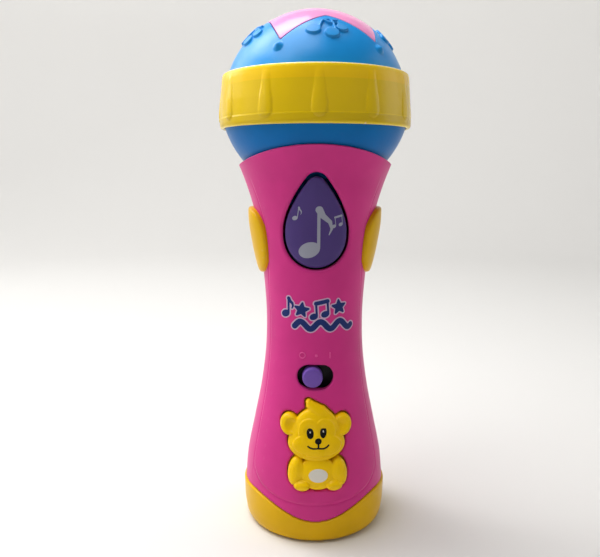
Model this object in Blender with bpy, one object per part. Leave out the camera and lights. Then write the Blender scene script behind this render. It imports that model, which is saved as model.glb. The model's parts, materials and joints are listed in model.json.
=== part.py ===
"""A toy microphone that stands on its base: a moulded handle in two halves, a round head with a light band
and a star window, two sprung buttons, a sliding power switch, and the battery box, board, speaker and lamps inside.

Lengths are in millimetres and angles in degrees until mesh_object() writes a mesh in metres. Z is up, the base
stands on z = 0 and the front faces -Y. An azimuth is measured from the front, towards +X.
"""

import math

import bmesh
import bpy
import numpy as np
from mathutils import Matrix, Vector

MM = 0.001
GAP = 0.3  # between pieces that touch
SIDES = 32  # flats round the handle and the head

# Driving dimensions of the outside
HEAD_HEIGHT = 179.6  # centre of the round head
HEAD_RADIUS = 37.6
BOWL_HEIGHT, BOWL_RADIUS = 182.5, 39.3  # the bowl under the band is part of a slightly larger sphere
DOME_WALL = 2.1
SHELL_WALL = 2.1
SHELL_FOOT = 3.0  # lowest edge of the handle halves, inside the cap
HANDLE = ((0, 31.0), (14, 30.9), (20, 30.5), (28, 29.8), (45, 26.5), (61, 23.3), (78, 21.2), (92, 20.85),
          (107, 21.7), (141, 26.8), (151, 30.1), (156, 32.1), (160, 33.9), (165, 36.6))  # height, radius
CAP_OUTSIDE = ((0, 27.6), (0.7, 28.9), (2.4, 30.1), (5.5, 30.8), (14, 31.5), (20, 31.6))  # height, radius
CAP_INSIDE = 29.5  # bore of the cap
CAP_EDGE_GAP = 0.45  # between the cap's wavy edge and the handle above it
CAP_FLOOR = 2.4
SEAM = 0.15  # half the gap between the handle halves

# Raised front panel
PANEL_RISE = 0.55
PANEL_FOOT = 17.9
PANEL_TOP = 150.0
PANEL_HALF_ANGLE = 62.0

# Side pads
PAD_HEIGHT = 124.3  # centre
PAD_HALF_HEIGHT = 14.0
PAD_HALF_ANGLE = 34.0
PAD_EDGE_RISE, PAD_RISE = 1.2, 4.0
PAD_SINK = 0.5  # how much closer the pad's lower half lies to the handle

# Melody button, a drop whose circles shrink from its belly to its tip: height and radius of each
DROP_FOOT_HEIGHT = 128.0
DROP_BELLY_HEIGHT, DROP_BELLY_RADIUS = 129.4, 13.2
DROP_TIP_HEIGHT, DROP_TIP_RADIUS = 146.9, 4.2
DROP_TAPER = 1.25
DROP_GAP, DROP_TIP_GAP = 0.75, 0.9
DROP_RISE = 1.0
MELODY_TRAVEL = 1.5

# Animal button, in the middle of the foot of the panel
ANIMAL_RISE = 1.6
ANIMAL_OUTLINE = (
    (-2.6, 61.0), (-0.6, 60.2), (2.6, 58.5), (5.2, 57.2), (7.6, 55.2), (9.6, 54.9), (11.6, 55.1), (14.0, 53.8),
    (15.0, 51.1), (14.3, 48.2), (12.4, 46.1), (12.3, 43.3), (11.5, 40.4), (9.7, 37.5), (11.8, 35.6), (13.2, 32.6),
    (13.3, 29.6), (11.4, 27.2), (10.4, 24.9), (7.8, 23.8), (5.2, 24.6), (1.1, 25.2), (-2.8, 24.6), (-5.5, 23.7),
    (-8.4, 24.8), (-9.6, 27.0), (-11.4, 29.6), (-11.6, 32.6), (-10.6, 35.6), (-8.9, 37.5), (-10.7, 40.4),
    (-11.4, 43.5), (-12.1, 46.1), (-13.8, 48.4), (-14.4, 51.6), (-13.3, 54.2), (-11.5, 55.4), (-9.3, 55.2),
    (-7.6, 55.4), (-5.0, 56.8), (-4.2, 59.4))  # clockwise from its tuft: arc round the handle, height
ANIMAL_MIDDLE = 0.8  # x of its centre line
ANIMAL_TRAVEL = 1.2

# Power switch
SLOT_HEIGHT = 69.6
SLOT_HALF_LENGTH, SLOT_HALF_WIDTH = 7.7, 5.1
KNOB_RADIUS = 4.2
KNOB_OFF = -1.2  # x of the knob when it is off
SHUTTER_FRONT, SHUTTER_BACK = -16.2, -15.4

# Light band
BAND_PROFILE = ((38.6, 170.0), (39.25, 170.5), (39.5, 171.6), (39.4, 174.5), (39.1, 180.0), (38.7, 185.0),
                (38.45, 188.6), (38.2, 190.7), (37.4, 191.4), (36.25, 191.2), (37.25, 186.2), (35.4, 186.2),
                (35.4, 173.9), (38.6, 173.9), (37.75, 170.0))  # radius, height
RIBS = 12
FIRST_RIB = 1.0

# Star window and the raised decoration round it
POINTS = 5
STAR_TIP, STAR_NOTCH = 53.5, 33.4  # angles down from the top of the head
FIRST_NOTCH = 10.0
BUMP_DOWN = 60.5

# Inside
CELL_RADIUS, CELL_LENGTH = 7.25, 50.5
CELL_SIDE, CELL_BACK = 7.6, 7.8  # x and y of the cells' axes
BOARD_FRONT, BOARD_THICKNESS, BOARD_HALF_WIDTH = -11.8, 1.2, 11.0
BOARD_FOOT, BOARD_TOP = 15.5, 137.5
SCREW_HEAD, SCREW_SHANK = 2.4, 1.05  # radii
CASING_SCREWS = ((21.2, 24.0), (14.2, 102.0), (18.6, 143.0))  # x and height, on both sides
DOOR_CORNER = 4.0
DOOR_HALF_WIDTH, DOOR_FOOT, DOOR_TOP = 15.7, 17.3, 84.2
DOOR_WALL = 1.9
DOOR_SCREW_HEIGHT = 80.0
DOOR_HINGE = (0.0, 30.8, 16.9)
SPEAKER_HEIGHT, SPEAKER_BACK = 122.0, 14.9

# Colours (linear), roughness and metallic
LOOKS = {
    "pink": ((0.60, 0.07, 0.28), 0.38, 0.0), "blue": ((0.02, 0.23, 0.62), 0.30, 0.0),
    "yellow": ((0.80, 0.50, 0.02), 0.32, 0.0), "band": ((0.82, 0.58, 0.01), 0.15, 0.0),
    "star": ((0.90, 0.35, 0.62), 0.15, 0.0), "purple": ((0.07, 0.04, 0.17), 0.32, 0.0),
    "violet": ((0.20, 0.09, 0.42), 0.35, 0.0), "black": ((0.01, 0.01, 0.01), 0.5, 0.0),
    "grey": ((0.35, 0.35, 0.36), 0.5, 0.0), "white": ((0.75, 0.75, 0.72), 0.5, 0.0),
    "green": ((0.02, 0.20, 0.07), 0.45, 0.0), "steel": ((0.55, 0.55, 0.57), 0.3, 1.0),
    "rubber": ((0.55, 0.56, 0.55), 0.8, 0.0), "cell": ((0.05, 0.08, 0.12), 0.35, 0.0),
    "red": ((0.55, 0.02, 0.02), 0.5, 0.0), "lamp": ((0.8, 0.82, 0.85), 0.1, 0.0),
}


# ---------------------------------------------------------------- mesh tools

def clear_scene():
    for obj in list(bpy.data.objects):
        bpy.data.objects.remove(obj)


def mesh_object(name, bm):
    """Writes a bmesh that is in millimetres as an object in metres."""
    bmesh.ops.recalc_face_normals(bm, faces=bm.faces)
    if bm.calc_volume(signed=True) < 0:
        bmesh.ops.reverse_faces(bm, faces=bm.faces)
    bmesh.ops.scale(bm, vec=(MM, MM, MM), verts=bm.verts)
    mesh = bpy.data.meshes.new(name)
    bm.to_mesh(mesh)
    bm.free()
    obj = bpy.data.objects.new(name, mesh)
    bpy.context.collection.objects.link(obj)
    return obj


def smooth(points):
    """A smooth curve through (position, value) points, as a function of position."""
    places, values = (np.array(column, float) for column in zip(*points))
    slopes = np.gradient(values, places)

    def curve(x):
        x = np.clip(x, places[0], places[-1])
        i = np.clip(np.searchsorted(places, x) - 1, 0, len(places) - 2)
        width = places[i + 1] - places[i]
        t = (x - places[i]) / width
        start = values[i] * (1 + 2 * t) * (1 - t) ** 2 + width * slopes[i] * t * (1 - t) ** 2
        end = values[i + 1] * t * t * (3 - 2 * t) - width * slopes[i + 1] * t * t * (1 - t)
        return float(start + end)

    return curve


def turned(name, profile, segments, turn=None, phase=0.5):
    """A closed loop of (radius, height) spun about Z, started part of a step round, then moved by turn."""
    bm = bmesh.new()
    verts = [bm.verts.new((radius, 0, height)) for radius, height in profile]
    edges = [bm.edges.new(pair) for pair in zip(verts, verts[1:] + verts[:1])]
    bmesh.ops.spin(bm, geom=verts + edges, cent=(0, 0, 0), axis=(0, 0, 1), angle=math.tau, steps=segments,
                   use_merge=True)
    bmesh.ops.remove_doubles(bm, verts=bm.verts, dist=1e-4)
    bmesh.ops.delete(bm, geom=[edge for edge in bm.edges if not edge.link_faces], context="EDGES")
    bm.transform((turn or Matrix()) @ Matrix.Rotation(math.tau * phase / segments, 4, "Z"))
    return mesh_object(name, bm)


def along_y(x, z):
    """A turn that lays a Z-axis shape along Y, so that its height becomes its y, through (x, z)."""
    return Matrix.Translation((x, 0, z)) @ Matrix.Rotation(math.radians(-90), 4, "X")


def rod(name, start, end, radius, segments=16):
    """A plain round rod between two points."""
    start, end = Vector(start), Vector(end)
    direction = end - start
    turn = Matrix.Translation((start + end) / 2) @ direction.to_track_quat("Z", "Y").to_matrix().to_4x4()
    bm = bmesh.new()
    bmesh.ops.create_cone(bm, cap_ends=True, segments=segments, radius1=radius, radius2=radius,
                          depth=direction.length, matrix=turn)
    return mesh_object(name, bm)


def block(name, low, high):
    """A box between two corners."""
    low, high = Vector(low), Vector(high)
    bm = bmesh.new()
    size = Matrix.Diagonal((*(high - low), 1.0))
    bmesh.ops.create_cube(bm, size=1.0, matrix=Matrix.Translation((low + high) / 2) @ size)
    return mesh_object(name, bm)


def prism(name, outline, y_low, y_high):
    """An outline of (x, height) points pushed along Y."""
    bm = bmesh.new()
    ends = [[bm.verts.new((x, y, z)) for x, z in outline] for y in (y_low, y_high)]
    for loop in ends:
        bm.faces.new(loop)
    count = len(outline)
    for i in range(count):
        j = (i + 1) % count
        bm.faces.new((ends[0][i], ends[0][j], ends[1][j], ends[1][i]))
    return mesh_object(name, bm)


def closed_grid(name, outer, inner):
    """A closed block between two equal grids of points."""
    bm = bmesh.new()
    sheets = [[[bm.verts.new(point) for point in row] for row in grid] for grid in (outer, inner)]
    rows, columns = len(outer), len(outer[0])
    for sheet in sheets:
        for i in range(rows - 1):
            for j in range(columns - 1):
                bm.faces.new((sheet[i][j], sheet[i][j + 1], sheet[i + 1][j + 1], sheet[i + 1][j]))
    rim = [(0, j) for j in range(columns)] + [(i, columns - 1) for i in range(1, rows)]
    rim += [(rows - 1, j) for j in range(columns - 2, -1, -1)] + [(i, 0) for i in range(rows - 2, 0, -1)]
    for (i, j), (k, m) in zip(rim, rim[1:] + rim[:1]):
        bm.faces.new((sheets[0][i][j], sheets[0][k][m], sheets[1][k][m], sheets[1][i][j]))
    return mesh_object(name, bm)


def combine(target, other, operation):
    """Joins, cuts or intersects target with other, which is used up."""
    modifier = target.modifiers.new(operation, "BOOLEAN")
    modifier.operation = operation
    modifier.object = other
    graph = bpy.context.evaluated_depsgraph_get()
    mesh = bpy.data.meshes.new_from_object(target.evaluated_get(graph))
    target.modifiers.remove(modifier)
    target.data = mesh
    bpy.data.objects.remove(other)
    return target


def join(target, *others):
    for other in others:
        combine(target, other, "UNION")
    return target


def cut(target, *others):
    for other in others:
        combine(target, other, "DIFFERENCE")
    return target


def common(target, other):
    return combine(target, other, "INTERSECT")


def ellipsoid(name, centre, radii, rings=8, segments=14, turn=None):
    bm = bmesh.new()
    matrix = Matrix.Translation(centre) @ (turn or Matrix()) @ Matrix.Diagonal((*radii, 1.0))
    bmesh.ops.create_uvsphere(bm, u_segments=segments, v_segments=rings, radius=1.0, matrix=matrix)
    return mesh_object(name, bm)


def tube(name, points, radius, sides=1):
    """A curved wire through a few points."""
    curve = bpy.data.curves.new(name, "CURVE")
    curve.dimensions = "3D"
    curve.bevel_depth = radius * MM
    curve.bevel_resolution = sides
    curve.use_fill_caps = True
    spline = curve.splines.new("POLY")
    spline.points.add(len(points) - 1)
    for place, point in zip(spline.points, points):
        place.co = (*(c * MM for c in point), 1.0)
    obj = bpy.data.objects.new(name, curve)
    bpy.context.collection.objects.link(obj)
    return obj


def eased(points, per_span=4):
    """Points along a smooth curve through the given ones."""
    stations = range(len(points))
    curves = [smooth(list(zip(stations, column))) for column in zip(*points)]
    steps = (len(points) - 1) * per_span
    return [tuple(curve(i / per_span) for curve in curves) for i in range(steps + 1)]


def rounded(corners, radius, steps=3):
    """A closed outline with each corner replaced by a short curve that starts radius before it."""
    outline = []
    for i, corner in enumerate(corners):
        corner = Vector(corner)
        before = Vector(corners[i - 1])
        after = Vector(corners[(i + 1) % len(corners)])
        start = corner + (before - corner).normalized() * radius
        end = corner + (after - corner).normalized() * radius
        for k in range(steps + 1):
            t = k / steps
            outline.append(tuple(start * (1 - t) ** 2 + corner * 2 * t * (1 - t) + end * t * t))
    return outline


def finish(obj, look, origin=None):
    """Gives a piece its material, smooth shading and, for a moving piece, its origin on the joint."""
    colour, roughness, metallic = LOOKS[look]
    material = bpy.data.materials.get(look) or bpy.data.materials.new(look)
    material.use_nodes = True
    shader = material.node_tree.nodes["Principled BSDF"]
    shader.inputs["Base Color"].default_value = (*colour, 1.0)
    shader.inputs["Roughness"].default_value = roughness
    shader.inputs["Metallic"].default_value = metallic
    obj.data.materials.clear()
    obj.data.materials.append(material)
    if obj.type == "MESH":
        obj.data.shade_smooth()
        obj.data.set_sharp_from_angle(angle=math.radians(35))
    if origin is not None:
        place = Vector(origin) * MM
        obj.data.transform(Matrix.Translation(-place))
        obj.location = place
    return obj


# ---------------------------------------------------------------- shapes that several pieces share

handle_radius = smooth(HANDLE)
cap_radius = smooth(CAP_OUTSIDE)


def bowl_slice(radius, height):
    """Radius of a sphere round the bowl's centre, cut at a height."""
    rise = height - BOWL_HEIGHT
    return math.sqrt(max(radius * radius - rise * rise, 0.0))


def inner_radius(height):
    """Inside of the handle: a constant wall, straight inside the cap, and clear of the bowl in the collar."""
    radius = min(handle_radius(height) - SHELL_WALL, 27.0)
    if height > 150:
        radius = max(handle_radius(height) - SHELL_WALL, bowl_slice(BOWL_RADIUS + 0.35, height))
    return radius


def collar_edge(azimuth):
    return 159.35 + 3.55 * math.cos(math.radians(2 * azimuth))


def cap_edge(azimuth):
    return 15.35 - 3.6 * math.cos(math.radians(2 * azimuth)) - 1.65 * math.cos(math.radians(4 * azimuth))


def on_round(radius, azimuth, height):
    angle = math.radians(azimuth)
    return (radius * math.sin(angle), -radius * math.cos(angle), height)


def from_arcs(outline):
    """An outline whose widths are arcs round the handle, as seen from the front."""
    return [(handle_radius(z) * math.sin(arc / handle_radius(z)), z) for arc, z in outline]


def drop(grow=0.0, tip=0.0):
    """Outline of a drop, clockwise from its tip, which is raised by tip."""
    length = DROP_TIP_HEIGHT + tip - DROP_BELLY_HEIGHT
    shrink = DROP_BELLY_RADIUS - DROP_TIP_RADIUS
    slope = DROP_TAPER * shrink / length
    circles = [(0.25 * i * math.acos(slope), 1.0) for i in range(4)]
    circles += [(math.acos(slope * t ** (DROP_TAPER - 1)), t) for t in (1.0, 0.75, 0.5, 0.28, 0.12, 0.03, 0.0)]
    half = []
    for angle, t in circles:
        radius = DROP_BELLY_RADIUS - shrink * t ** DROP_TAPER + grow
        half.append((radius * math.sin(angle), DROP_BELLY_HEIGHT + length * t + radius * math.cos(angle)))
    for i in range(7):
        angle = math.pi / 2 + math.pi / 12 * i
        radius = DROP_BELLY_RADIUS + grow
        half.append((radius * math.sin(angle), DROP_FOOT_HEIGHT + radius * math.cos(angle)))
    half[-1] = (0.0, half[-1][1])
    return from_arcs(half + [(-x, z) for x, z in half[-2:0:-1]])


def animal(grow=0.0):
    """Outline of the sitting animal."""
    outline = [Vector(point) for point in from_arcs(ANIMAL_OUTLINE)]
    grown = []
    for i, point in enumerate(outline):
        along = (outline[(i + 1) % len(outline)] - outline[i - 1]).normalized()
        grown.append(tuple(point + Vector((-along.y, along.x)) * grow))
    return grown


def slot_outline(grow=0.0, count=12):
    half, radius = SLOT_HALF_LENGTH - SLOT_HALF_WIDTH, SLOT_HALF_WIDTH + grow
    outline = []
    for side, start in ((1, -90), (-1, 90)):
        for i in range(count + 1):
            angle = math.radians(start + 180 * i / count)
            outline.append((side * half + radius * math.cos(angle), SLOT_HEIGHT + radius * math.sin(angle)))
    return outline


def layer(name, low, high, inside, outside, rows=6):
    """A solid of revolution between two radii that are functions of the height."""
    heights = [low + (high - low) * i / rows for i in range(rows + 1)]
    loop = [(outside(z), z) for z in reversed(heights)] + [(inside(z), z) for z in heights]
    return turned(name, loop, SIDES)


def wavy_ring(name, inner, outer, bottom, top, segments=SIDES):
    """A ring whose bottom and top are heights that depend on the azimuth."""
    bm = bmesh.new()
    loops = []
    for i in range(segments):
        azimuth = 360 * i / segments
        low, high = bottom(azimuth), top(azimuth)
        corners = ((inner, low), (outer, low), (outer, high), (inner, high))
        loops.append([bm.verts.new(on_round(radius, azimuth, z)) for radius, z in corners])
    for i, loop in enumerate(loops):
        following = loops[(i + 1) % segments]
        for k in range(4):
            m = (k + 1) % 4
            bm.faces.new((loop[k], loop[m], following[m], following[k]))
    return mesh_object(name, bm)


def half_room(name, side):
    """The half space behind (side 1) or in front of (side -1) the seam."""
    near, far = sorted((side * SEAM, side * 60.0))
    return block(name, (-60, near, -10), (60, far, 220))


def star_outline(height, grow=0.0):
    """The star's outline on a plane at a height above the head's centre, as if lit from that centre."""
    corners = []
    for i in range(POINTS):
        for turn, angle in ((FIRST_NOTCH + 72 * i, STAR_NOTCH), (FIRST_NOTCH + 36 + 72 * i, STAR_TIP)):
            reach = height * math.tan(math.radians(angle + grow))
            corners.append((reach * math.sin(math.radians(turn)), -reach * math.cos(math.radians(turn))))
    return rounded(corners, height * 0.07, steps=2)


def star_cone(name, grow=0.0):
    """A cone from the head's centre through the star's outline."""
    height = 44.0
    bm = bmesh.new()
    apex = bm.verts.new((0, 0, HEAD_HEIGHT))
    rim = [bm.verts.new((x, y, HEAD_HEIGHT + height)) for x, y in star_outline(height, grow)]
    bm.faces.new(rim)
    for i, vert in enumerate(rim):
        bm.faces.new((apex, vert, rim[(i + 1) % len(rim)]))
    return mesh_object(name, bm)


def dome_profile(radius_out, radius_in, steps, bottom):
    """Closed loop of a dome's wall, from its top down the outside to the bottom and back up the inside."""
    loop = []
    for radius, order in ((radius_out, 1), (radius_in, -1)):
        last = math.degrees(math.acos((bottom - HEAD_HEIGHT) / radius))
        arc = [math.radians(last * i / steps) for i in range(steps + 1)][::order]
        loop += [(radius * math.sin(a), HEAD_HEIGHT + radius * math.cos(a)) for a in arc]
    return loop


def on_head(radius, azimuth, down):
    """A point above the head's centre at an angle down from its top."""
    angle = math.radians(down)
    x, y, _ = on_round(radius * math.sin(angle), azimuth, 0)
    return (x, y, HEAD_HEIGHT + radius * math.cos(angle))


def head_turn(azimuth, down):
    """A turn whose local Z points out of the head there and whose local X points to the right."""
    return Matrix.Rotation(math.radians(azimuth), 4, "Z") @ Matrix.Rotation(math.radians(down), 4, "X")


# ---------------------------------------------------------------- handle

def patch(name, rows, outer, inner, columns):
    """A block on the handle over rows of (height, middle azimuth, half angle), between two radius functions."""
    grids = []
    for radius in (outer, inner):
        grid = []
        for height, middle, half in rows:
            shares = [2 * j / columns - 1 for j in range(columns + 1)]
            grid.append([on_round(radius(share, height), middle + half * share, height) for share in shares])
        grids.append(grid)
    return closed_grid(name, *grids)


def panel():
    """The raised front panel, with a round foot."""
    rows = []
    for share in (0.98, 0.9, 0.72, 0.44, 0.1):
        half = PANEL_HALF_ANGLE * (1 - share ** 3.3) ** (1 / 2.3)
        rows.append((PANEL_FOOT + 20 * (1 - share), 0, half))
    for height in (47, 60, 72, 86, 100, 112, 120, 130, 141):
        rows.append((height, 0, PANEL_HALF_ANGLE - 6.0 * math.sin(math.pi * max(0, min(1, (height - 104) / 46)))))
    rows.append((PANEL_TOP, 0, PANEL_HALF_ANGLE))
    return patch("panel", rows,
                 lambda share, z: handle_radius(z) + PANEL_RISE * min(1, (PANEL_TOP + 4 - z) / 8),
                 lambda share, z: handle_radius(z) - 1.0, columns=12)


def pad_rows(grow, steps=7):
    rows = []
    for i in range(steps):
        rise = -math.cos(math.pi * (i + 0.35) / (steps - 0.3))
        share = (1 - abs(rise) ** 2.65) ** (1 / 2.65)
        rows.append((PAD_HEIGHT + rise * (PAD_HALF_HEIGHT + grow), share))
    return rows


def pad_block(name, side, grow, outer, inner):
    """A block with the side pad's outline, grown all round by some millimetres."""
    rows = [(z, side * 90, share * (PAD_HALF_ANGLE + math.degrees(grow / 24))) for z, share in pad_rows(grow)]
    return patch(name, rows, outer, inner, columns=6)


def pad_face(share, height):
    """Outside of a side pad: a low cushion."""
    rise = (height - PAD_HEIGHT) / PAD_HALF_HEIGHT
    dome = math.sqrt(max(0.0, 1 - 0.9 * max(share * share, rise * rise)))
    sink = PAD_SINK * min(1, max(0, 0.5 - rise))
    return handle_radius(height) + PAD_EDGE_RISE - sink + (PAD_RISE - PAD_EDGE_RISE) * dome


def side_pads():
    for side, name in ((-1, "left_side_pad"), (1, "right_side_pad")):
        pad = pad_block(name, side, 0.0, pad_face, lambda share, z: handle_radius(z) - 3.5)
        flange = pad_block("flange", side, 1.6, lambda share, z: handle_radius(z) - SHELL_WALL - 0.6,
                           lambda share, z: handle_radius(z) - 3.8)
        join(pad, flange)
        finish(pad, "yellow")


def shell(name, side, features):
    """Half of the handle. Features stand in the hollow and grow from its wall."""
    heights = [SHELL_FOOT, 14, 24, 35, 47, 60, 72, 86, 100, 114, 128, 141, 149, 156, 164]
    outside = [(0, heights[-1])] + [(handle_radius(z), z) for z in reversed(heights)] + [(0, SHELL_FOOT)]
    body = turned(name, outside, SIDES)
    if side < 0:
        join(body, panel())
    hollow_heights = [SHELL_FOOT - 1] + heights[2:-1] + [160, 166]
    hollow = [(0, hollow_heights[-1])] + [(inner_radius(z), z) for z in reversed(hollow_heights)]
    cavity = turned("cavity", hollow + [(0, hollow_heights[0])], SIDES)
    cut(cavity, *features)
    common(body, half_room("half", side))
    cut(body, cavity)
    cut(body, wavy_ring("collar_trim", 10, 50, collar_edge, lambda azimuth: 175.0))
    cut(body, wavy_ring("cap_room", CAP_INSIDE - GAP, 40, lambda azimuth: 0.0,
                        lambda azimuth: cap_edge(azimuth) + CAP_EDGE_GAP))
    for pad_side in (-1, 1):
        cut(body, pad_block("pad_hole", pad_side, 0.5, lambda share, z: handle_radius(z) + 2.0,
                            lambda share, z: handle_radius(z) - 3.5))
    return body


def front_shell():
    """Front half: holes for both buttons and the switch, screw posts, board pegs and the neck rest."""
    features = [rod("post", (sign * x, -40, z), (sign * x, 1, z), 2.6, 10)
                for x, z in CASING_SCREWS for sign in (-1, 1)]
    features += [rod("peg", (sign * 7.5, -40, z), (sign * 7.5, BOARD_FRONT - GAP, z), 1.5, 6)
                 for z in (18.5, 84, 108) for sign in (-1, 1)]
    features += [block("slot_wall", (-12.0, -40, SLOT_HEIGHT - 7.0),
                       (12.0, SHUTTER_FRONT - 0.4, SLOT_HEIGHT + 7.0)),
                 rod("base_post", (0, -20, 0), (0, -20, 12), 2.6, 12),
                 block("web", (-0.8, -30, -1), (0.8, -20, 11))]
    rest = turned("neck_rest", ((12.4, 142.1), (40, 142.1), (40, 144.1), (12.4, 144.1)), 24)
    cut(rest, prism("button_room", drop(2.8), -45, -18.0))
    features.append(common(rest, half_room("front", -1)))
    body = shell("front_shell", -1, features)
    cut(body, prism("drop_hole", drop(DROP_GAP, DROP_TIP_GAP), -40, -10))
    cut(body, prism("animal_hole", animal(0.45), -40, -10))
    cut(body, prism("slot", slot_outline(), -40, -10))
    for x, z in CASING_SCREWS:
        for sign in (-1, 1):
            cut(body, rod("pilot", (sign * x, -9, z), (sign * x, 5, z), 1.4, 8))
    cut(body, rod("base_pilot", (0, -20, -1), (0, -20, 10), 1.4, 10))
    finish(body, "pink")


def rear_shell():
    """Rear half: counterbored screw posts, the speaker's seat and grille, and the battery opening."""
    features = [rod("post", (sign * x, -1, z), (sign * x, 40, z), 3.3, 10)
                for x, z in CASING_SCREWS for sign in (-1, 1)]
    foot = SPEAKER_BACK - 1.5
    seat = turned("seat", ((14.6, foot), (14.6, 40), (16.2, 40), (16.2, foot)), 20, along_y(0, SPEAKER_HEIGHT))
    features.append(seat)
    features += [rod("base_post", (0, 22.5, 0), (0, 22.5, 12), 2.6, 12),
                 block("web", (-0.8, 22, -1), (0.8, 30, 11))]
    rest = turned("neck_rest", ((12.4, 142.1), (40, 142.1), (40, 144.1), (12.4, 144.1)), 24)
    features.append(common(rest, half_room("rear", 1)))
    body = shell("rear_shell", 1, features)
    for x, z in CASING_SCREWS:
        for sign in (-1, 1):
            cut(body, rod("bore", (sign * x, -5, z), (sign * x, 40, z), 1.4, 8))
            cut(body, rod("counterbore", (sign * x, 5.2, z), (sign * x, 40, z), 2.75, 10))
    cut(body, rod("base_pilot", (0, 22.5, -1), (0, 22.5, 10), 1.4, 10))
    for ring, count in enumerate((1, 6, 12)):
        for i in range(count):
            angle = math.tau * (i + 0.5 * ring) / count
            x, z = 4.2 * ring * math.cos(angle), SPEAKER_HEIGHT + 4.2 * ring * math.sin(angle)
            cut(body, rod("grille_hole", (x, SPEAKER_BACK + 0.5, z), (x, 40, z), 1.2, 6))
    opening = rounded(((-16.05, 16.9), (16.05, 16.9), (16.05, 85.0), (-16.05, 85.0)), 4.0)
    cut(body, prism("battery_opening", opening, 2, 45))
    finish(body, "pink")


def base_cap():
    """The cap that the toy stands on, with a wavy upper edge and two counterbored screw holes."""
    profile = [(0, 0)] + [(cap_radius(z), z) for z in (0, 0.7, 2.4, 5.5, 14, 20)]
    profile += [(CAP_INSIDE, 20), (CAP_INSIDE, CAP_FLOOR), (0, CAP_FLOOR)]
    cap = turned("base_cap", profile, SIDES)
    cut(cap, wavy_ring("edge", 25, 45, cap_edge, lambda azimuth: 30.0))
    for y in (-20.0, 22.5):
        cut(cap, rod("hole", (0, y, -1), (0, y, 5), 1.4, 10),
            rod("counterbore", (0, y, -1), (0, y, 1.5), 2.9, 14))
    finish(cap, "yellow")


def screw(name, head, tip):
    """A pan-head screw from the outside of its head to its tip."""
    head, tip = Vector(head), Vector(tip)
    length = (tip - head).length
    profile = ((0, 0), (1.9, 0), (SCREW_HEAD, 0.5), (SCREW_HEAD, 1.3), (SCREW_SHANK, 1.3),
               (SCREW_SHANK, length - 0.8), (0, length))
    turn = Matrix.Translation(head) @ (tip - head).to_track_quat("Z", "Y").to_matrix().to_4x4()
    return finish(turned(name, profile, 10, turn), "steel")


def casing_screws():
    for level, (x, z) in zip(("low", "middle", "top"), CASING_SCREWS):
        for sign, side in ((-1, "left"), (1, "right")):
            screw(f"casing_screw_{level}_{side}", (sign * x, 6.9, z), (sign * x, -7.5, z))
    for y, side in ((-20.0, "front"), (22.5, "rear")):
        screw(f"base_screw_{side}", (0, y, 0.1), (0, y, 8.5))


# ---------------------------------------------------------------- head

def lower_dome():
    """The bowl that plugs into the neck, with posts for the lamp board."""
    outside = [(12.0, 139), (15.0, 139), (15.0, 141.7), (12.0, 141.7), (12.0, 150.0)]
    start = math.degrees(math.acos((150.0 - BOWL_HEIGHT) / BOWL_RADIUS))
    end = math.degrees(math.acos((173.5 - BOWL_HEIGHT) / BOWL_RADIUS))
    arc = [math.radians(start + (end - start) * i / 5) for i in range(6)]
    outside += [(BOWL_RADIUS * math.sin(a), BOWL_HEIGHT + BOWL_RADIUS * math.cos(a)) for a in arc]
    inner = BOWL_RADIUS - DOME_WALL
    inside = [(bowl_slice(inner, z), z) for z in (173.5, 164, 156, 152)]
    bowl = turned("lower_dome", outside + inside + [(9.0, 152), (9.0, 139)], SIDES)
    for i in range(3):
        x, y, _ = on_round(15.5, 60 + 120 * i, 0)
        join(bowl, rod("lamp_post", (x, y, 151), (x, y, 169.6), 1.8, 10))
    finish(bowl, "blue")


def upper_dome():
    """The top of the head: the star's opening, music notes under its notches and bumps under its points."""
    dome = turned("upper_dome", dome_profile(HEAD_RADIUS, HEAD_RADIUS - DOME_WALL, 7, 186.6), SIDES)
    cut(dome, star_cone("opening", 0.45))
    for i in range(POINTS):
        notch = FIRST_NOTCH + 72 * i
        for turn, down in ((-12.5, 50.6), (0.2, 53.4), (8.5, 48.0)):
            centre = on_head(HEAD_RADIUS + 0.1, notch + turn, down)
            join(dome, ellipsoid("note", centre, (2.9, 2.3, 1.1), 4, 8, head_turn(notch + turn, down)))
        for (turn_a, down_a), (turn_b, down_b) in (((-8.8, 49.5), (-4.0, 41.2)), ((-4.0, 41.2), (9.0, 42.4))):
            start, end = (on_head(HEAD_RADIUS, notch + t, d) for t, d in ((turn_a, down_a), (turn_b, down_b)))
            join(dome, rod("stem", start, end, 0.8, 6))
        tip = notch + 36
        join(dome, ellipsoid("bump", on_head(HEAD_RADIUS - 0.2, tip, BUMP_DOWN), (2.3, 2.3, 1.7), 4, 8,
                             head_turn(tip, BUMP_DOWN)))
    finish(dome, "blue")


def star_lens():
    """The star window: its face fills the opening, and a wider flange lies under the dome."""
    under_dome = HEAD_RADIUS - DOME_WALL - GAP
    lens = turned("star_lens", dome_profile(HEAD_RADIUS, under_dome - 0.8, 7, 190), SIDES)
    common(lens, star_cone("face"))
    flange = turned("flange", dome_profile(under_dome, under_dome - 1.3, 5, 189), 24)
    common(flange, star_cone("wider", 3.0))
    join(lens, flange)
    finish(lens, "star")


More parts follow.
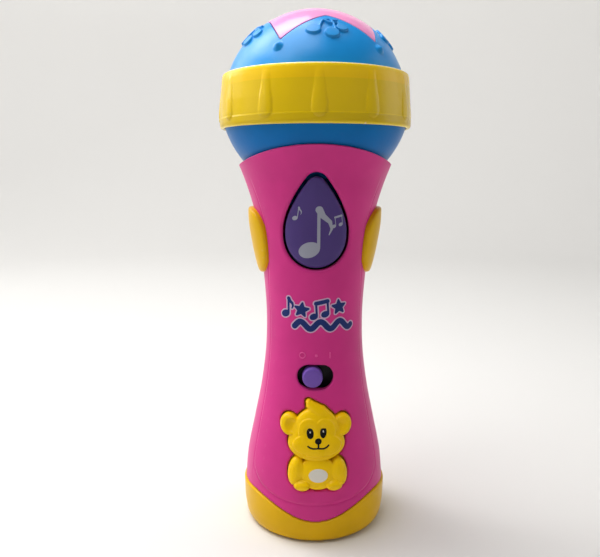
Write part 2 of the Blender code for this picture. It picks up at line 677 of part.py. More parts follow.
def light_band():
    """The clear band round the head, with upright ribs that widen downwards."""
    band = turned("light_band", BAND_PROFILE, 40, phase=0.0)
    for i in range(RIBS):
        azimuth = FIRST_RIB + 360 / RIBS * i
        corners = []
        for z, half, rise in ((172.2, 1.6, 0.1), (174.6, 2.8, 1.0), (181.0, 2.2, 0.75), (188.4, 1.4, 0.1)):
            radius = 39.25 - 0.65 * max(0.0, (z - 176) / 10)
            spread = math.degrees(half / radius)
            corners.append([on_round(radius + lift, azimuth + turn, z) for turn, lift in
                            ((-spread, -0.4), (-spread * 0.5, rise * 0.85), (spread * 0.5, rise * 0.85),
                             (spread, -0.4))])
        deep = [[on_round(depth, azimuth + turn, row[0][2]) for turn in (-3, -1, 1, 3)]
                for depth, row in zip((38.6, 38.4, 37.9, 37.5), corners)]
        join(band, closed_grid("rib", corners, deep))
    finish(band, "band")


def lamps():
    """A round board with three clear lamps in the middle of the head."""
    board = turned("lamp_board", ((0, 169.9), (19.5, 169.9), (19.5, 171.1), (0, 171.1)), 24)
    cut(board, rod("wire_hole", (0, 0, 165), (0, 0, 175), 2.5, 10))
    finish(board, "green")
    for i, name in enumerate(("lamp_front", "lamp_right", "lamp_left")):
        x, y, _ = on_round(9.5, 120 * i, 0)
        profile = [(0, 171.4), (2.9, 171.4), (2.9, 172.4), (2.5, 172.4), (2.5, 177.2)]
        profile += [(2.5 * math.cos(math.radians(a)), 177.2 + 2.5 * math.sin(math.radians(a))) for a in (30, 60)]
        finish(turned(name, profile + [(0, 179.7)], 14, Matrix.Translation((x, y, 0))), "lamp")


# ---------------------------------------------------------------- buttons and switch

def button(name, outline, grown, narrowed, low, high, rise, stem_height, look, stem_x=0.0):
    """A moulded button: a curved face in its outline, a skirt, a flange behind the wall and a stem."""
    face = prism(name, outline, -45, -8)
    common(face, layer("skin", low, high, lambda z: inner_radius(z) - 1.8, lambda z: handle_radius(z) + rise))
    flange = prism("flange", grown, -45, -4)
    common(flange, layer("back", low, high, lambda z: inner_radius(z) - 1.8, lambda z: inner_radius(z) - 0.4))
    join(face, flange)
    hollow = prism("hollow", narrowed, -45, 0)
    common(hollow, layer("room", low - 2, high + 2, lambda z: inner_radius(z) - 6,
                         lambda z: handle_radius(z) - 1))
    cut(face, hollow)
    depth = handle_radius(stem_height)
    join(face, rod("stem", (stem_x, -depth + 0.4, stem_height), (stem_x, -17.5, stem_height), 2.6, 14))
    return face


def melody_button():
    face = button("melody_button", drop(), drop(2.0), drop(-2.0), 106, 160, DROP_RISE, 130.0, "purple")
    room = BOWL_RADIUS + 0.6
    cut(face, ellipsoid("head_room", (0, -MELODY_TRAVEL, BOWL_HEIGHT), (room, room, room), 20, 28))
    finish(face, "purple", origin=(0, -24, 130))


def animal_button():
    """The animal figure: a plate in its outline with a rounded head, ears, belly, arms and feet on it."""
    face = button("animal_button", animal(), animal(1.5), animal(-1.8), 18, 66, ANIMAL_RISE, 40.0, "yellow",
                  ANIMAL_MIDDLE)
    middle = ANIMAL_MIDDLE
    lumps = (((0, 47.2), (9.4, 1.9, 7.8)), ((0, 32.0), (6.8, 2.0, 5.6)), ((-7.0, 26.7), (2.8, 2.1, 2.5)),
             ((6.8, 26.7), (2.8, 2.1, 2.5)), ((-10.2, 50.6), (3.0, 1.1, 3.2)), ((10.2, 50.6), (3.0, 1.1, 3.2)),
             ((-0.6, 56.4), (2.5, 1.5, 2.8)))  # place from the middle line, half sizes
    for (x, z), radii in lumps:
        radius = handle_radius(z) + ANIMAL_RISE - 0.3
        lump_y = -math.sqrt(radius * radius - (x + middle) ** 2)
        join(face, ellipsoid("lump", (x + middle, lump_y, z), radii, 4, 8))
    finish(face, "yellow", origin=(0, -26, 40))


def power_switch():
    """A knob on a shutter that fills the slot, the fork behind it, and the small switch on the board."""
    x, z = KNOB_OFF, SLOT_HEIGHT
    out = -handle_radius(z) - PANEL_RISE
    profile = ((0, out - 1.9), (2.6, out - 1.7), (3.7, out - 1.1), (KNOB_RADIUS, out - 0.2),
               (KNOB_RADIUS, -18.8), (0, -18.8))
    knob = turned("power_knob", profile, 20, along_y(x, z))
    join(knob, rod("stem", (x, -19.5, z), (x, SHUTTER_BACK, z), 2.2, 12))
    finish(knob, "violet", origin=(x, -20, z))
    shutter = block("slot_shutter", (x - 9.2, SHUTTER_FRONT, z - 6.0), (x + 9.2, SHUTTER_BACK, z + 6.0))
    cut(shutter, rod("stem_hole", (x, -20, z), (x, -10, z), 2.5, 12))
    finish(shutter, "black", origin=(x, -16, z))
    lever = block("switch_lever", (x - 0.9, SHUTTER_BACK + GAP, z - 0.9), (x + 0.9, -14.2, z + 0.9))
    finish(lever, "white", origin=(x, -15, z))
    can = block("slide_switch", (-5.2, -13.9, z - 2.4), (5.2, BOARD_FRONT - GAP, z + 2.4))
    finish(can, "steel")


def rubber_dome(name, x, z):
    """The springy dome that a button's stem presses onto the board."""
    front = BOARD_FRONT - GAP
    profile = ((0, front), (5.2, front), (5.2, front - 0.8), (4.2, front - 1.0), (3.0, front - 3.6),
               (2.8, front - 5.1), (0, front - 5.1))
    finish(turned(name, profile, 18, along_y(x, z)), "rubber", origin=(x, front, z))


# ---------------------------------------------------------------- electrics

def board_and_parts():
    back = BOARD_FRONT + BOARD_THICKNESS
    board = block("main_board", (-BOARD_HALF_WIDTH, BOARD_FRONT, BOARD_FOOT),
                  (BOARD_HALF_WIDTH, back, BOARD_TOP))
    for x, z in ((-7.5, 96), (7.5, 96), (-7.5, 26), (7.5, 26)):
        cut(board, rod("hole", (x, -20, z), (x, 0, z), 1.2, 8))
    finish(board, "green")
    finish(block("sound_chip", (-4.5, back + GAP, 98), (4.5, back + 2.2, 110)), "black")
    profile = ((0, 86), (3.1, 86), (3.1, 94.5), (0, 94.5))
    finish(turned("capacitor", profile, 14, Matrix.Translation((5.5, back + 3.6, 0))), "cell")
    rubber_dome("melody_rubber_dome", 0.0, 130.0)
    rubber_dome("animal_rubber_dome", ANIMAL_MIDDLE, 40.0)


def speaker():
    """A small round speaker behind the grille: basket, magnet and cone."""
    back = SPEAKER_BACK
    profile = ((0, back - 9.0), (6.5, back - 9.0), (6.5, back - 4.6), (9.5, back - 4.2), (13.4, back - 0.9),
               (14.2, back - 0.9), (14.2, back), (12.6, back), (9.0, back - 2.6), (0, back - 2.9))
    finish(turned("speaker_basket", profile, 20, along_y(0, SPEAKER_HEIGHT)), "grey")
    cone = ((0, back - 2.4), (8.9, back - 2.2), (12.4, back + 0.3), (11.4, back + 0.3), (8.4, back - 1.3),
            (4.0, back - 1.6), (2.6, back - 0.6), (0, back - 0.3))
    finish(turned("speaker_cone", cone, 20, along_y(0, SPEAKER_HEIGHT)), "black")


def battery_box():
    """The tray behind the cells, its end walls, the post for the cover's screw, and the contacts."""
    tray = block("battery_tray", (-16.1, -0.6, 16.9), (16.1, 9.5, 76.1))
    cut(tray, block("well", (-15.1, 0.25, 18.0), (15.1, 20, 75.0)))
    tongue = block("tongue", (-4.5, -0.5, 75.5), (4.5, 0.15, 84.0))
    post = rod("post", (0, -0.2, DOOR_SCREW_HEIGHT), (0, 13.6, DOOR_SCREW_HEIGHT), 2.8, 14)
    join(tray, tongue, post)
    cut(tray, rod("pilot", (0, 3, DOOR_SCREW_HEIGHT), (0, 20, DOOR_SCREW_HEIGHT), 0.95, 10))
    finish(tray, "grey")
    finish(block("contact_bridge", (-13.6, 1.0, 18.3), (13.6, 12.5, 18.7)), "steel")
    for sign, side in ((-1, "left"), (1, "right")):
        low, high = sorted((sign * 1.6, sign * 13.6))
        finish(block(f"contact_{side}", (low, 1.0, 74.3), (high, 12.5, 74.7)), "steel")
    for sign, side, nub_up, foot in ((-1, "left", True, 23.3), (1, "right", False, 19.0)):
        nub, top = 2.7, foot + CELL_LENGTH
        ends = [foot, top - 1.0] if nub_up else [foot + 1.0, top]
        low_radius, high_radius = (CELL_RADIUS, nub) if nub_up else (nub, CELL_RADIUS)
        profile = [(0, foot), (low_radius, foot)]
        if nub_up:
            profile += [(CELL_RADIUS, ends[1]), (nub, ends[1])]
        else:
            profile += [(nub, ends[0]), (CELL_RADIUS, ends[0])]
        profile += [(high_radius, top), (0, top)]
        cell = turned(f"battery_{side}", profile, 24, Matrix.Translation((sign * CELL_SIDE, CELL_BACK, 0)))
        finish(cell, "cell")
        spring_low, spring_high = (19.4, 22.6) if nub_up else (70.2, 73.6)
        points = []
        for i in range(25):
            share = i / 24
            angle = math.tau * 3 * share
            radius = 4.4 - 1.6 * (share if nub_up else 1 - share)
            points.append((sign * CELL_SIDE + radius * math.cos(angle), CELL_BACK + radius * math.sin(angle),
                           spring_low + (spring_high - spring_low) * share))
        finish(tube(f"battery_spring_{side}", points, 0.3, 0), "steel")


def battery_door():
    """The cover over the cells: hooks at its foot, a screw boss at its top."""
    outline = rounded(((-DOOR_HALF_WIDTH, DOOR_FOOT), (DOOR_HALF_WIDTH, DOOR_FOOT), (DOOR_HALF_WIDTH, DOOR_TOP),
                       (-DOOR_HALF_WIDTH, DOOR_TOP)), DOOR_CORNER)
    door = prism("battery_door", outline, 3, 45)
    common(door, layer("skin", 12, 90, lambda z: handle_radius(z) - DOOR_WALL, handle_radius, rows=8))
    for x in (-8.5, 8.5):
        join(door, block("hook", (x - 2, 22.9, 13.9), (x + 2, 24.1, 19.5)),
             block("root", (x - 1.9, 23.1, 17.9), (x + 1.9, 28.0, 19.3)))
    height = DOOR_SCREW_HEIGHT
    join(door, rod("boss", (0, 14.0, height), (0, handle_radius(height) - 0.8, height), 3.3, 16))
    cut(door, rod("bore", (0, 10, height), (0, 30, height), 1.4, 10))
    cut(door, rod("counterbore", (0, 16.6, height), (0, 30, height), 2.75, 14))
    finish(door, "pink", origin=DOOR_HINGE)
    stud = screw("battery_door_screw", (0, 19.8, height), (0, 14.2, height))
    place = Vector(DOOR_HINGE) * MM
    stud.data.transform(Matrix.Translation(-place))
    stud.location = place


def wires():
    """Leads from the cells, the speaker and the lamps to the main board."""
    back = BOARD_FRONT + BOARD_THICKNESS + 0.9
    routes = {
        "battery_lead_red": ("red", [(10.5, 4.0, 77.0), (10.5, -2.5, 80.0), (9.0, -6.0, 83.0),
                                     (8.5, back, 84.5)]),
        "battery_lead_black": ("black", [(-10.5, 4.0, 77.0), (-10.5, -2.5, 80.0), (-9.0, -6.0, 83.0),
                                         (-8.5, back, 84.5)]),
        "speaker_lead_red": ("red", [(7.9, 10.2, 119.5), (8.6, 5.0, 117.5), (8.2, -2.0, 117.0),
                                     (7.2, back, 118.0)]),
        "speaker_lead_black": ("black", [(-7.9, 10.2, 119.5), (-8.6, 5.0, 117.5), (-8.2, -2.0, 117.0),
                                         (-7.2, back, 118.0)]),
        "lamp_lead": ("white", [(0, back, 133.0), (0, -6.0, 134.6), (0, -1.5, 138.5), (0, 0, 146.0),
                                (0, 0, 156.0), (0, 0, 169.0), (0, 0, 176.0)]),
    }
    for name, (look, points) in routes.items():
        finish(tube(name, eased(points), 0.6 if "lamp" not in name else 1.1), look)


def build():
    clear_scene()
    front_shell()
    rear_shell()
    base_cap()
    side_pads()
    casing_screws()
    lower_dome()
    upper_dome()
    star_lens()
    light_band()
    lamps()
    melody_button()
    animal_button()
    power_switch()
    board_and_parts()
    speaker()
    battery_box()
    battery_door()
    wires()


build()
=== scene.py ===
import json
import math

import bmesh
import bpy
import numpy as np
from mathutils import Matrix, Vector


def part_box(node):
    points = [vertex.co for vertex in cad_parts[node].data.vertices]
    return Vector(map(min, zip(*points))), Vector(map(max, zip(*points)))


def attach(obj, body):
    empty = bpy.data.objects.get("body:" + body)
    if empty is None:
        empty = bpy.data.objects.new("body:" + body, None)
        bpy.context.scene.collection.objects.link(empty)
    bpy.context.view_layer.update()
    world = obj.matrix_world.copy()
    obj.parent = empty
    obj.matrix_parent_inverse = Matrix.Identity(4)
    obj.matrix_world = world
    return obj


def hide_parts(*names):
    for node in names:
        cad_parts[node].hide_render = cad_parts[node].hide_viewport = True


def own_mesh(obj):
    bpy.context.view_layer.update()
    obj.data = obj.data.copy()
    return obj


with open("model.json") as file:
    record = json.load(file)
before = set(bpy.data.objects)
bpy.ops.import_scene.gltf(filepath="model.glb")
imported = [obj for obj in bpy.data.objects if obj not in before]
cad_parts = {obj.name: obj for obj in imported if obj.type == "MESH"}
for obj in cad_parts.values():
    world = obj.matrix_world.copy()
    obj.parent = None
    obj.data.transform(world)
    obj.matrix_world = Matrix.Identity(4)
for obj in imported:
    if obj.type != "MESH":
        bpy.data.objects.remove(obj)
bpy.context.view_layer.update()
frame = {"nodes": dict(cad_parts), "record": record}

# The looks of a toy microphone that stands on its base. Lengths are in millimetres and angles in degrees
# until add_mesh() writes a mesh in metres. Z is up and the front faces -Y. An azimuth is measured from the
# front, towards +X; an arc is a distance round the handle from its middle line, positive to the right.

MM = 0.001

# Outside of the handle and head
HEAD_HEIGHT, HEAD_RADIUS = 179.6, 37.6
HEAD_ARC = math.radians(1) * HEAD_RADIUS  # a degree's length on the head
BOWL_HEIGHT, BOWL_RADIUS = 182.5, 39.3  # the bowl under the band is part of a slightly larger sphere
HANDLE = ((0, 31.0), (14, 30.9), (20, 30.5), (28, 29.8), (45, 26.5), (61, 23.3), (78, 21.2), (92, 20.85),
          (107, 21.7), (141, 26.8), (151, 30.1), (156, 32.1), (160, 33.9), (165, 36.6))  # height, radius
CAP_OUTSIDE = ((0, 27.6), (0.25, 28.2), (0.9, 29.1), (2.4, 30.1), (5.5, 30.8), (14, 31.4), (20, 31.5))
SHELL_WALL = 2.1
SPIGOT_RADIUS = 29.2  # the shell below the cap's edge
CAP_INSIDE, CAP_LIP = 29.5, 0.7
SEAM_GAP, SEAM_ROUND, COLLAR_ROUND = 0.02, 0.3, 0.45
SHELL_FOOT = 5.0
PANEL_RISE, PANEL_FOOT, PANEL_TOP, PANEL_HALF_ANGLE = 0.55, 17.9, 150.0, 62.0

# Buttons and switch
DROP_MIDDLE, DROP_RADIUS, DROP_TIP_HEIGHT, DROP_TIP_RADIUS, DROP_TAPER = 129.4, 13.2, 146.9, 4.2, 1.25
SLOT_HEIGHT, SLOT_HALF_LENGTH, SLOT_HALF_WIDTH = 69.6, 7.7, 5.1

# Star window and decoration: azimuths, and angles down from the top of the head
FIRST_NOTCH, FIRST_TIP, STAR_STEP = 10.0, 46.0, 72.0
STAR_TIP, STAR_NOTCH = 55.5, 33.4
NOTES_DOWN, BUMP_DOWN = 46.0, 60.5
NOTES_SPREAD = 48.0  # where the notes' width is measured
SLANT = 0.86  # share of the way down that is square to the star's edge
FIRST_RIB, RIB_STEP = 1.0, 30.0
RIB_FOOT, RIB_FOOT_RADIUS, BAND_RADIUS = 175.4, 3.0, 39.4

# Rear and sides
SCREWS = ((21.2, 24.0), (14.2, 102.0), (18.6, 143.0))  # x and height of each pair
SCREW_HEAD, SCREW_TIP, WELL_RADIUS = 6.9, -7.5, 2.75
DOOR_MIDDLE, DOOR_HALF, DOOR_SCREW = 50.75, (15.7, 33.45), 80.0
OPENING = (0, 50.95, (16.05, 34.05), 4.3)  # the door's opening: middle, half sizes, corner
GRIP_HEIGHT, GRIP_PITCH = 68.0, 1.8
GRILLE_HEIGHT, GRILLE_PITCH, GRILLE_RIM = 122.0, 4.2, 12.6
PAD_MIDDLE, PAD_HALF, PAD_POWER, PAD_RADIUS = 124.3, 14.0, 2.65, 23.7


# ---- numbers

def smooth(points):
    """A smooth curve through (position, value) points, as a function of positions."""
    places, values = (np.array(column, float) for column in zip(*points))
    slopes = np.gradient(values, places)

    def curve(x):
        x = np.clip(np.asarray(x, float), places[0], places[-1])
        i = np.clip(np.searchsorted(places, x) - 1, 0, len(places) - 2)
        width = places[i + 1] - places[i]
        t = (x - places[i]) / width
        start = values[i] * (1 + 2 * t) * (1 - t) ** 2 + width * slopes[i] * t * (1 - t) ** 2
        end = values[i + 1] * t * t * (3 - 2 * t) - width * slopes[i + 1] * t * t * (1 - t)
        return start + end

    return curve


def ease(low, high, x):
    """0 below low, 1 above high and an S curve between."""
    t = np.clip((np.asarray(x, float) - low) / (high - low), 0, 1)
    return t * t * (3 - 2 * t)


def quarter(distance, radius):
    """Drop of a rounded edge at a distance inside it: radius at the edge and 0 from radius on."""
    t = 1 - np.clip(distance / radius, 0, 1)
    return radius * (1 - np.sqrt(np.maximum(1 - t * t, 0)))


handle_radius = smooth(HANDLE)
cap_radius = smooth(CAP_OUTSIDE)


def bowl_slice(radius, height):
    return np.sqrt(np.maximum(radius * radius - (height - BOWL_HEIGHT) ** 2, 0))


def inner_radius(height):
    """Inside of the handle."""
    plain = np.minimum(handle_radius(height) - SHELL_WALL, 27.0)
    collar = np.maximum(handle_radius(height) - SHELL_WALL, bowl_slice(BOWL_RADIUS + 0.35, height))
    return np.where(np.asarray(height) > 150, collar, plain)


def collar_edge(azimuth):
    return 159.35 + 3.55 * np.cos(np.radians(2 * azimuth))


def cap_edge(azimuth):
    return 15.35 - 3.6 * np.cos(np.radians(2 * azimuth)) - 1.65 * np.cos(np.radians(4 * azimuth))


def on_round(radius, azimuth, height):
    """Points at a radius, azimuth and height, as an array whose last axis is x, y, z."""
    radius, azimuth, height = np.broadcast_arrays(radius, np.radians(azimuth), height)
    return np.stack([radius * np.sin(azimuth), -radius * np.cos(azimuth), height], axis=-1)


def on_front(arc, height, rise=0.0):
    """Points on the handle's front at an arc and height, raised from the plain surface."""
    radius = handle_radius(height)
    return on_round(radius + rise, np.degrees(arc / radius), height)


def behind_front(arc, height, depth):
    """Points behind the handle's front wall, at a depth from its inside."""
    azimuth = np.degrees(arc / handle_radius(height))
    return on_round(inner_radius(height) - depth, azimuth, height)


def on_head(radius, azimuth, down):
    """Points at an angle down from the top of the head."""
    down = np.radians(down)
    return on_round(radius * np.sin(down), azimuth, HEAD_HEIGHT + radius * np.cos(down))


# ---- fields: distance to a shape, negative inside

def disc(u, w, x, z, radius):
    return np.hypot(u - x, w - z) - radius


def turned_to(u, w, x, z, turn):
    """Coordinates round a place, turned by an angle."""
    c, s = math.cos(math.radians(turn)), math.sin(math.radians(turn))
    return c * (u - x) + s * (w - z), -s * (u - x) + c * (w - z)


def oval(u, w, x, z, wide, tall, turn=0.0):
    """An ellipse: an estimate of the distance that is right near its edge."""
    p, q = turned_to(u, w, x, z, turn)
    k = np.hypot(p / wide, q / tall)
    return k * (k - 1) / np.maximum(np.hypot(p / wide ** 2, q / tall ** 2), 1e-6)


def stroke(u, w, start, end, radius, end_radius=None):
    """A straight stroke with round ends, tapered when end_radius is given."""
    (x, z), (x2, z2) = start, end
    dx, dz = x2 - x, z2 - z
    t = np.clip(((u - x) * dx + (w - z) * dz) / (dx * dx + dz * dz), 0, 1)
    width = radius if end_radius is None else radius + (end_radius - radius) * t
    return np.hypot(u - x - t * dx, w - z - t * dz) - width


def strokes(u, w, points, radius, end_radius=None):
    last = radius if end_radius is None else end_radius
    steps = len(points) - 1
    widths = [radius + (last - radius) * i / steps for i in range(steps + 1)]
    parts = [stroke(u, w, *pair, *widths[i:i + 2]) for i, pair in enumerate(zip(points, points[1:]))]
    return np.minimum.reduce(parts)


def polygon(u, w, corners):
    nearest, inside = np.full(np.shape(u), np.inf), np.zeros(np.shape(u), bool)
    for (x, z), (x2, z2) in zip(corners, corners[1:] + corners[:1]):
        nearest = np.minimum(nearest, stroke(u, w, (x, z), (x2, z2), 0.0))
        crosses = (z > w) != (z2 > w)
        inside ^= crosses & (u < (x2 - x) * (w - z) / (z2 - z if z2 != z else 1e-9) + x)
    return np.where(inside, -nearest, nearest)


def blend(a, b, reach):
    """Union of two fields with a soft joint."""
    h = np.clip(0.5 + 0.5 * (b - a) / reach, 0, 1)
    return b + (a - b) * h - reach * h * (1 - h)


def drop_field(u, w, grow=0.0, tip=0.0):
    """A drop: circles that shrink towards its tip."""
    best = np.full(np.shape(u), np.inf)
    for t in np.linspace(-0.08, 1, 56):
        centre = DROP_MIDDLE + (DROP_TIP_HEIGHT + tip - DROP_MIDDLE) * t
        radius = DROP_RADIUS - (DROP_RADIUS - DROP_TIP_RADIUS) * max(t, 0.0) ** DROP_TAPER
        best = np.minimum(best, np.hypot(u, w - centre) - radius)
    return best - grow


def slot_field(u, w, grow=0.0):
    half = SLOT_HALF_LENGTH - SLOT_HALF_WIDTH
    return stroke(u, w, (-half, SLOT_HEIGHT), (half, SLOT_HEIGHT), SLOT_HALF_WIDTH) - grow


# ---- meshes

def add_object(name, data):
    obj = bpy.data.objects.new(name, data)
    bpy.context.scene.collection.objects.link(obj)
    return obj


def from_bmesh(name, bm, *materials):
    """An object from a bmesh in metres, which is used up."""
    mesh = bpy.data.meshes.new(name)
    bm.to_mesh(mesh)
    bm.free()
    for material in materials:
        mesh.materials.append(material)
    return add_object(name, mesh)


def sharpen(obj, angle):
    obj.data.shade_smooth()
    obj.data.set_sharp_from_angle(angle=math.radians(angle))
    return obj


def add_mesh(name, points, faces, material, sharp=40):
    mesh = bpy.data.meshes.new(name)
    mesh.from_pydata((np.asarray(points, float).reshape(-1, 3) * MM).tolist(), [], faces)
    mesh.update()
    mesh.materials.append(material)
    return sharpen(add_object(name, mesh), sharp)


def grid_faces(rows, columns, wrap_rows=False, wrap_columns=False):
    index = np.arange(rows * columns).reshape(rows, columns)
    if wrap_rows:
        index = np.vstack([index, index[:1]])
    if wrap_columns:
        index = np.hstack([index, index[:, :1]])
    corners = (index[:-1, :-1], index[:-1, 1:], index[1:, 1:], index[1:, :-1])
    return np.stack(corners, axis=-1).reshape(-1, 4).tolist()


def fix_normals(obj):
    bm = bmesh.new()
    bm.from_mesh(obj.data)
    bmesh.ops.remove_doubles(bm, verts=bm.verts, dist=1e-7)
    bmesh.ops.recalc_face_normals(bm, faces=bm.faces)
    bm.to_mesh(obj.data)
    bm.free()
    return obj


def ring_mesh(name, points, material, sharp=40, closed=False):
    """A mesh over rows of points that run right round; closed joins the last row to the first."""
    rows, columns = points.shape[:2]
    return fix_normals(add_mesh(name, points, grid_faces(rows, columns, closed, True), material, sharp))


def turned(name, profile, material, segments=160, axis="Z", centre=(0, 0, 0), sharp=40):
    """A profile of (radius, height) points turned about an axis through centre."""
    profile = np.array(profile, float)
    angles = np.linspace(0, math.tau, segments, endpoint=False)
    radius, height = profile[:, :1], profile[:, 1:]
    ring = [radius * np.cos(angles), radius * np.sin(angles), height + 0 * angles]
    order = {"Z": (0, 1, 2), "Y": (0, 2, 1)}[axis]
    points = np.stack([ring[i] for i in order], axis=-1) + np.array(centre)
    return ring_mesh(name, points, material, sharp)


def bent(profile, radius=0.4, steps=4):
    """A profile with its inner corners rounded."""
    out = [np.array(profile[0], float)]
    for before, corner, after in zip(profile, profile[1:], profile[2:]):
        before, corner, after = (np.array(p, float) for p in (before, corner, after))
        start, end = (
            corner + (side - corner) * min(radius / max(np.linalg.norm(side - corner), 1e-9), 0.45)
            for side in (before, after))
        for t in np.linspace(0, 1, steps + 1):
            out.append(start * (1 - t) ** 2 + 2 * corner * t * (1 - t) + end * t * t)
    out.append(np.array(profile[-1], float))
    return [tuple(p) for p in out]


def contour(field, box, step):
    """The part of a plane where a field is below 0, as small polygons: their points and faces."""
    (low_x, high_x), (low_z, high_z) = box
    xs, zs = np.arange(low_x, high_x + step, step), np.arange(low_z, high_z + step, step)
    u, w = np.meshgrid(xs, zs)
    value = field(u, w)
    inside = value < 0
    points, faces, seen = [], [], {}

    def vertex(key, x, z):
        if key not in seen:
            seen[key] = len(points)
            points.append((x, z))
        return seen[key]

    def crossing(i, j, k, m):
        (i, j), (k, m) = sorted(((i, j), (k, m)))
        a, b = value[i, j], value[k, m]
        t = min(max(a / (a - b), 0.02), 0.98)
        return vertex((i, j, 1 + (k > i)), xs[j] + (xs[m] - xs[j]) * t, zs[i] + (zs[k] - zs[i]) * t)

    touched = inside[:-1, :-1] | inside[1:, :-1] | inside[:-1, 1:] | inside[1:, 1:]
    for i, j in zip(*np.nonzero(touched)):
        loop = []
        ring = ((i, j), (i, j + 1), (i + 1, j + 1), (i + 1, j))
        for a, b in zip(ring, ring[1:] + ring[:1]):
            if inside[a]:
                loop.append(vertex((*a, 0), xs[a[1]], zs[a[0]]))
            if inside[a] != inside[b]:
                loop.append(crossing(*a, *b))
        if len(loop) > 2:
            faces.append(tuple(loop))
    return np.array(points), faces


def rim_edges(faces):
    """Edges used by one face only, in that face's direction."""
    seen = set()
    for loop in faces:
        for pair in zip(loop, loop[1:] + loop[:1]):
            if pair[::-1] in seen:
                seen.remove(pair[::-1])
            else:
                seen.add(pair)
    return sorted(seen)


def raised(name, field, box, step, front, back, material, closed=False, sharp=60):
    """A block over the shape of a field: front and back give 3-D points, and sides join their rims."""
    flat, faces = contour(field, box, step)
    near, far = front(flat[:, 0], flat[:, 1]), back(flat[:, 0], flat[:, 1])
    count = len(flat)
    walls = [(b, a, a + count, b + count) for a, b in rim_edges(faces)]
    rear = [tuple(i + count for i in reversed(loop)) for loop in faces] if closed else []
    obj = add_mesh(name, np.vstack([near, far]), faces + walls + rear, material, sharp)
    if not closed:
        bm = bmesh.new()
        bm.from_mesh(obj.data)
        bmesh.ops.delete(bm, geom=[v for v in bm.verts if not v.link_faces], context="VERTS")
        bm.to_mesh(obj.data)
        bm.free()
    return obj


def printed(name, field, box, surface, material, step=0.16):
    """A thin print that follows a surface."""
    flat, faces = contour(field, box, step)
    return add_mesh(name, surface(flat[:, 0], flat[:, 1]), faces, material, 180)


def joined(name, *objects):
    """One object from several meshes."""
    bm = bmesh.new()
    materials = []
    for obj in objects:
        before = len(bm.faces)
        bm.from_mesh(obj.data)
        bm.faces.ensure_lookup_table()
        for face in bm.faces[before:]:
            material = obj.data.materials[face.material_index]
            if material not in materials:
                materials.append(material)
            face.material_index = materials.index(material)
    for obj in objects:
        bpy.data.objects.remove(obj)
    return from_bmesh(name, bm, *materials)


def carve(target, cutter):
    """Cuts another mesh, which is used up, out of a piece."""
    modifier = target.modifiers.new("carve", "BOOLEAN")
    modifier.operation = "DIFFERENCE"
    modifier.object = cutter
    graph = bpy.context.evaluated_depsgraph_get()
    mesh = bpy.data.meshes.new_from_object(target.evaluated_get(graph))
    target.modifiers.remove(modifier)
    target.data = mesh
    bpy.data.objects.remove(cutter)
    return target


def rod(name, start, end, radius, material, segments=24):
    start, end = Vector(start), Vector(end)
    turn = (end - start).to_track_quat("Z", "Y").to_matrix().to_4x4()
    bm = bmesh.new()
    bmesh.ops.create_cone(bm, cap_ends=True, segments=segments, radius1=radius, radius2=radius,
                          depth=(end - start).length, matrix=Matrix.Translation((start + end) / 2) @ turn)
    bm.transform(Matrix.Scale(MM, 4))
    return from_bmesh(name, bm, material)


# ---- materials

def new_material(name):
    material = bpy.data.materials.new(name)
    material.use_nodes = True
    return material, material.node_tree, material.node_tree.nodes["Principled BSDF"]


def feed(tree, node, inputs):
    """Sets a node's inputs to values, or links them to other nodes' outputs."""
    for key, value in inputs.items():
        if isinstance(value, bpy.types.NodeSocket):
            tree.links.new(value, node.inputs[key])
        else:
            node.inputs[key].default_value = value


def add_node(tree, kind, out, inputs, **settings):
    """One output of a new shader node with these inputs and settings."""
    node = tree.nodes.new("ShaderNode" + kind)
    for key, value in settings.items():
        setattr(node, key, value)
    feed(tree, node, inputs)
    return node.outputs[out]


def noise(tree, scale, detail=3.0, stretch=None):
    """A noise pattern in the piece's own coordinates; scale is in features per metre."""
    spot = add_node(tree, "TexCoord", "Object", {})
    if stretch is not None:
        spot = add_node(tree, "Mapping", "Vector", {"Vector": spot, "Scale": stretch})
    return add_node(tree, "TexNoise", "Fac", {"Vector": spot, "Scale": scale, "Detail": detail})


def mapped(tree, value, low, high, to_low, to_high):
    return add_node(tree, "MapRange", "Result", {"Value": value, "From Min": low, "From Max": high,
                                                 "To Min": to_low, "To Max": to_high})


def mixed(tree, share, first, second, **settings):
    inputs = {"Factor": share, "A": first, "B": second}
    return add_node(tree, "Mix", "Result", inputs, data_type="RGBA", **settings)


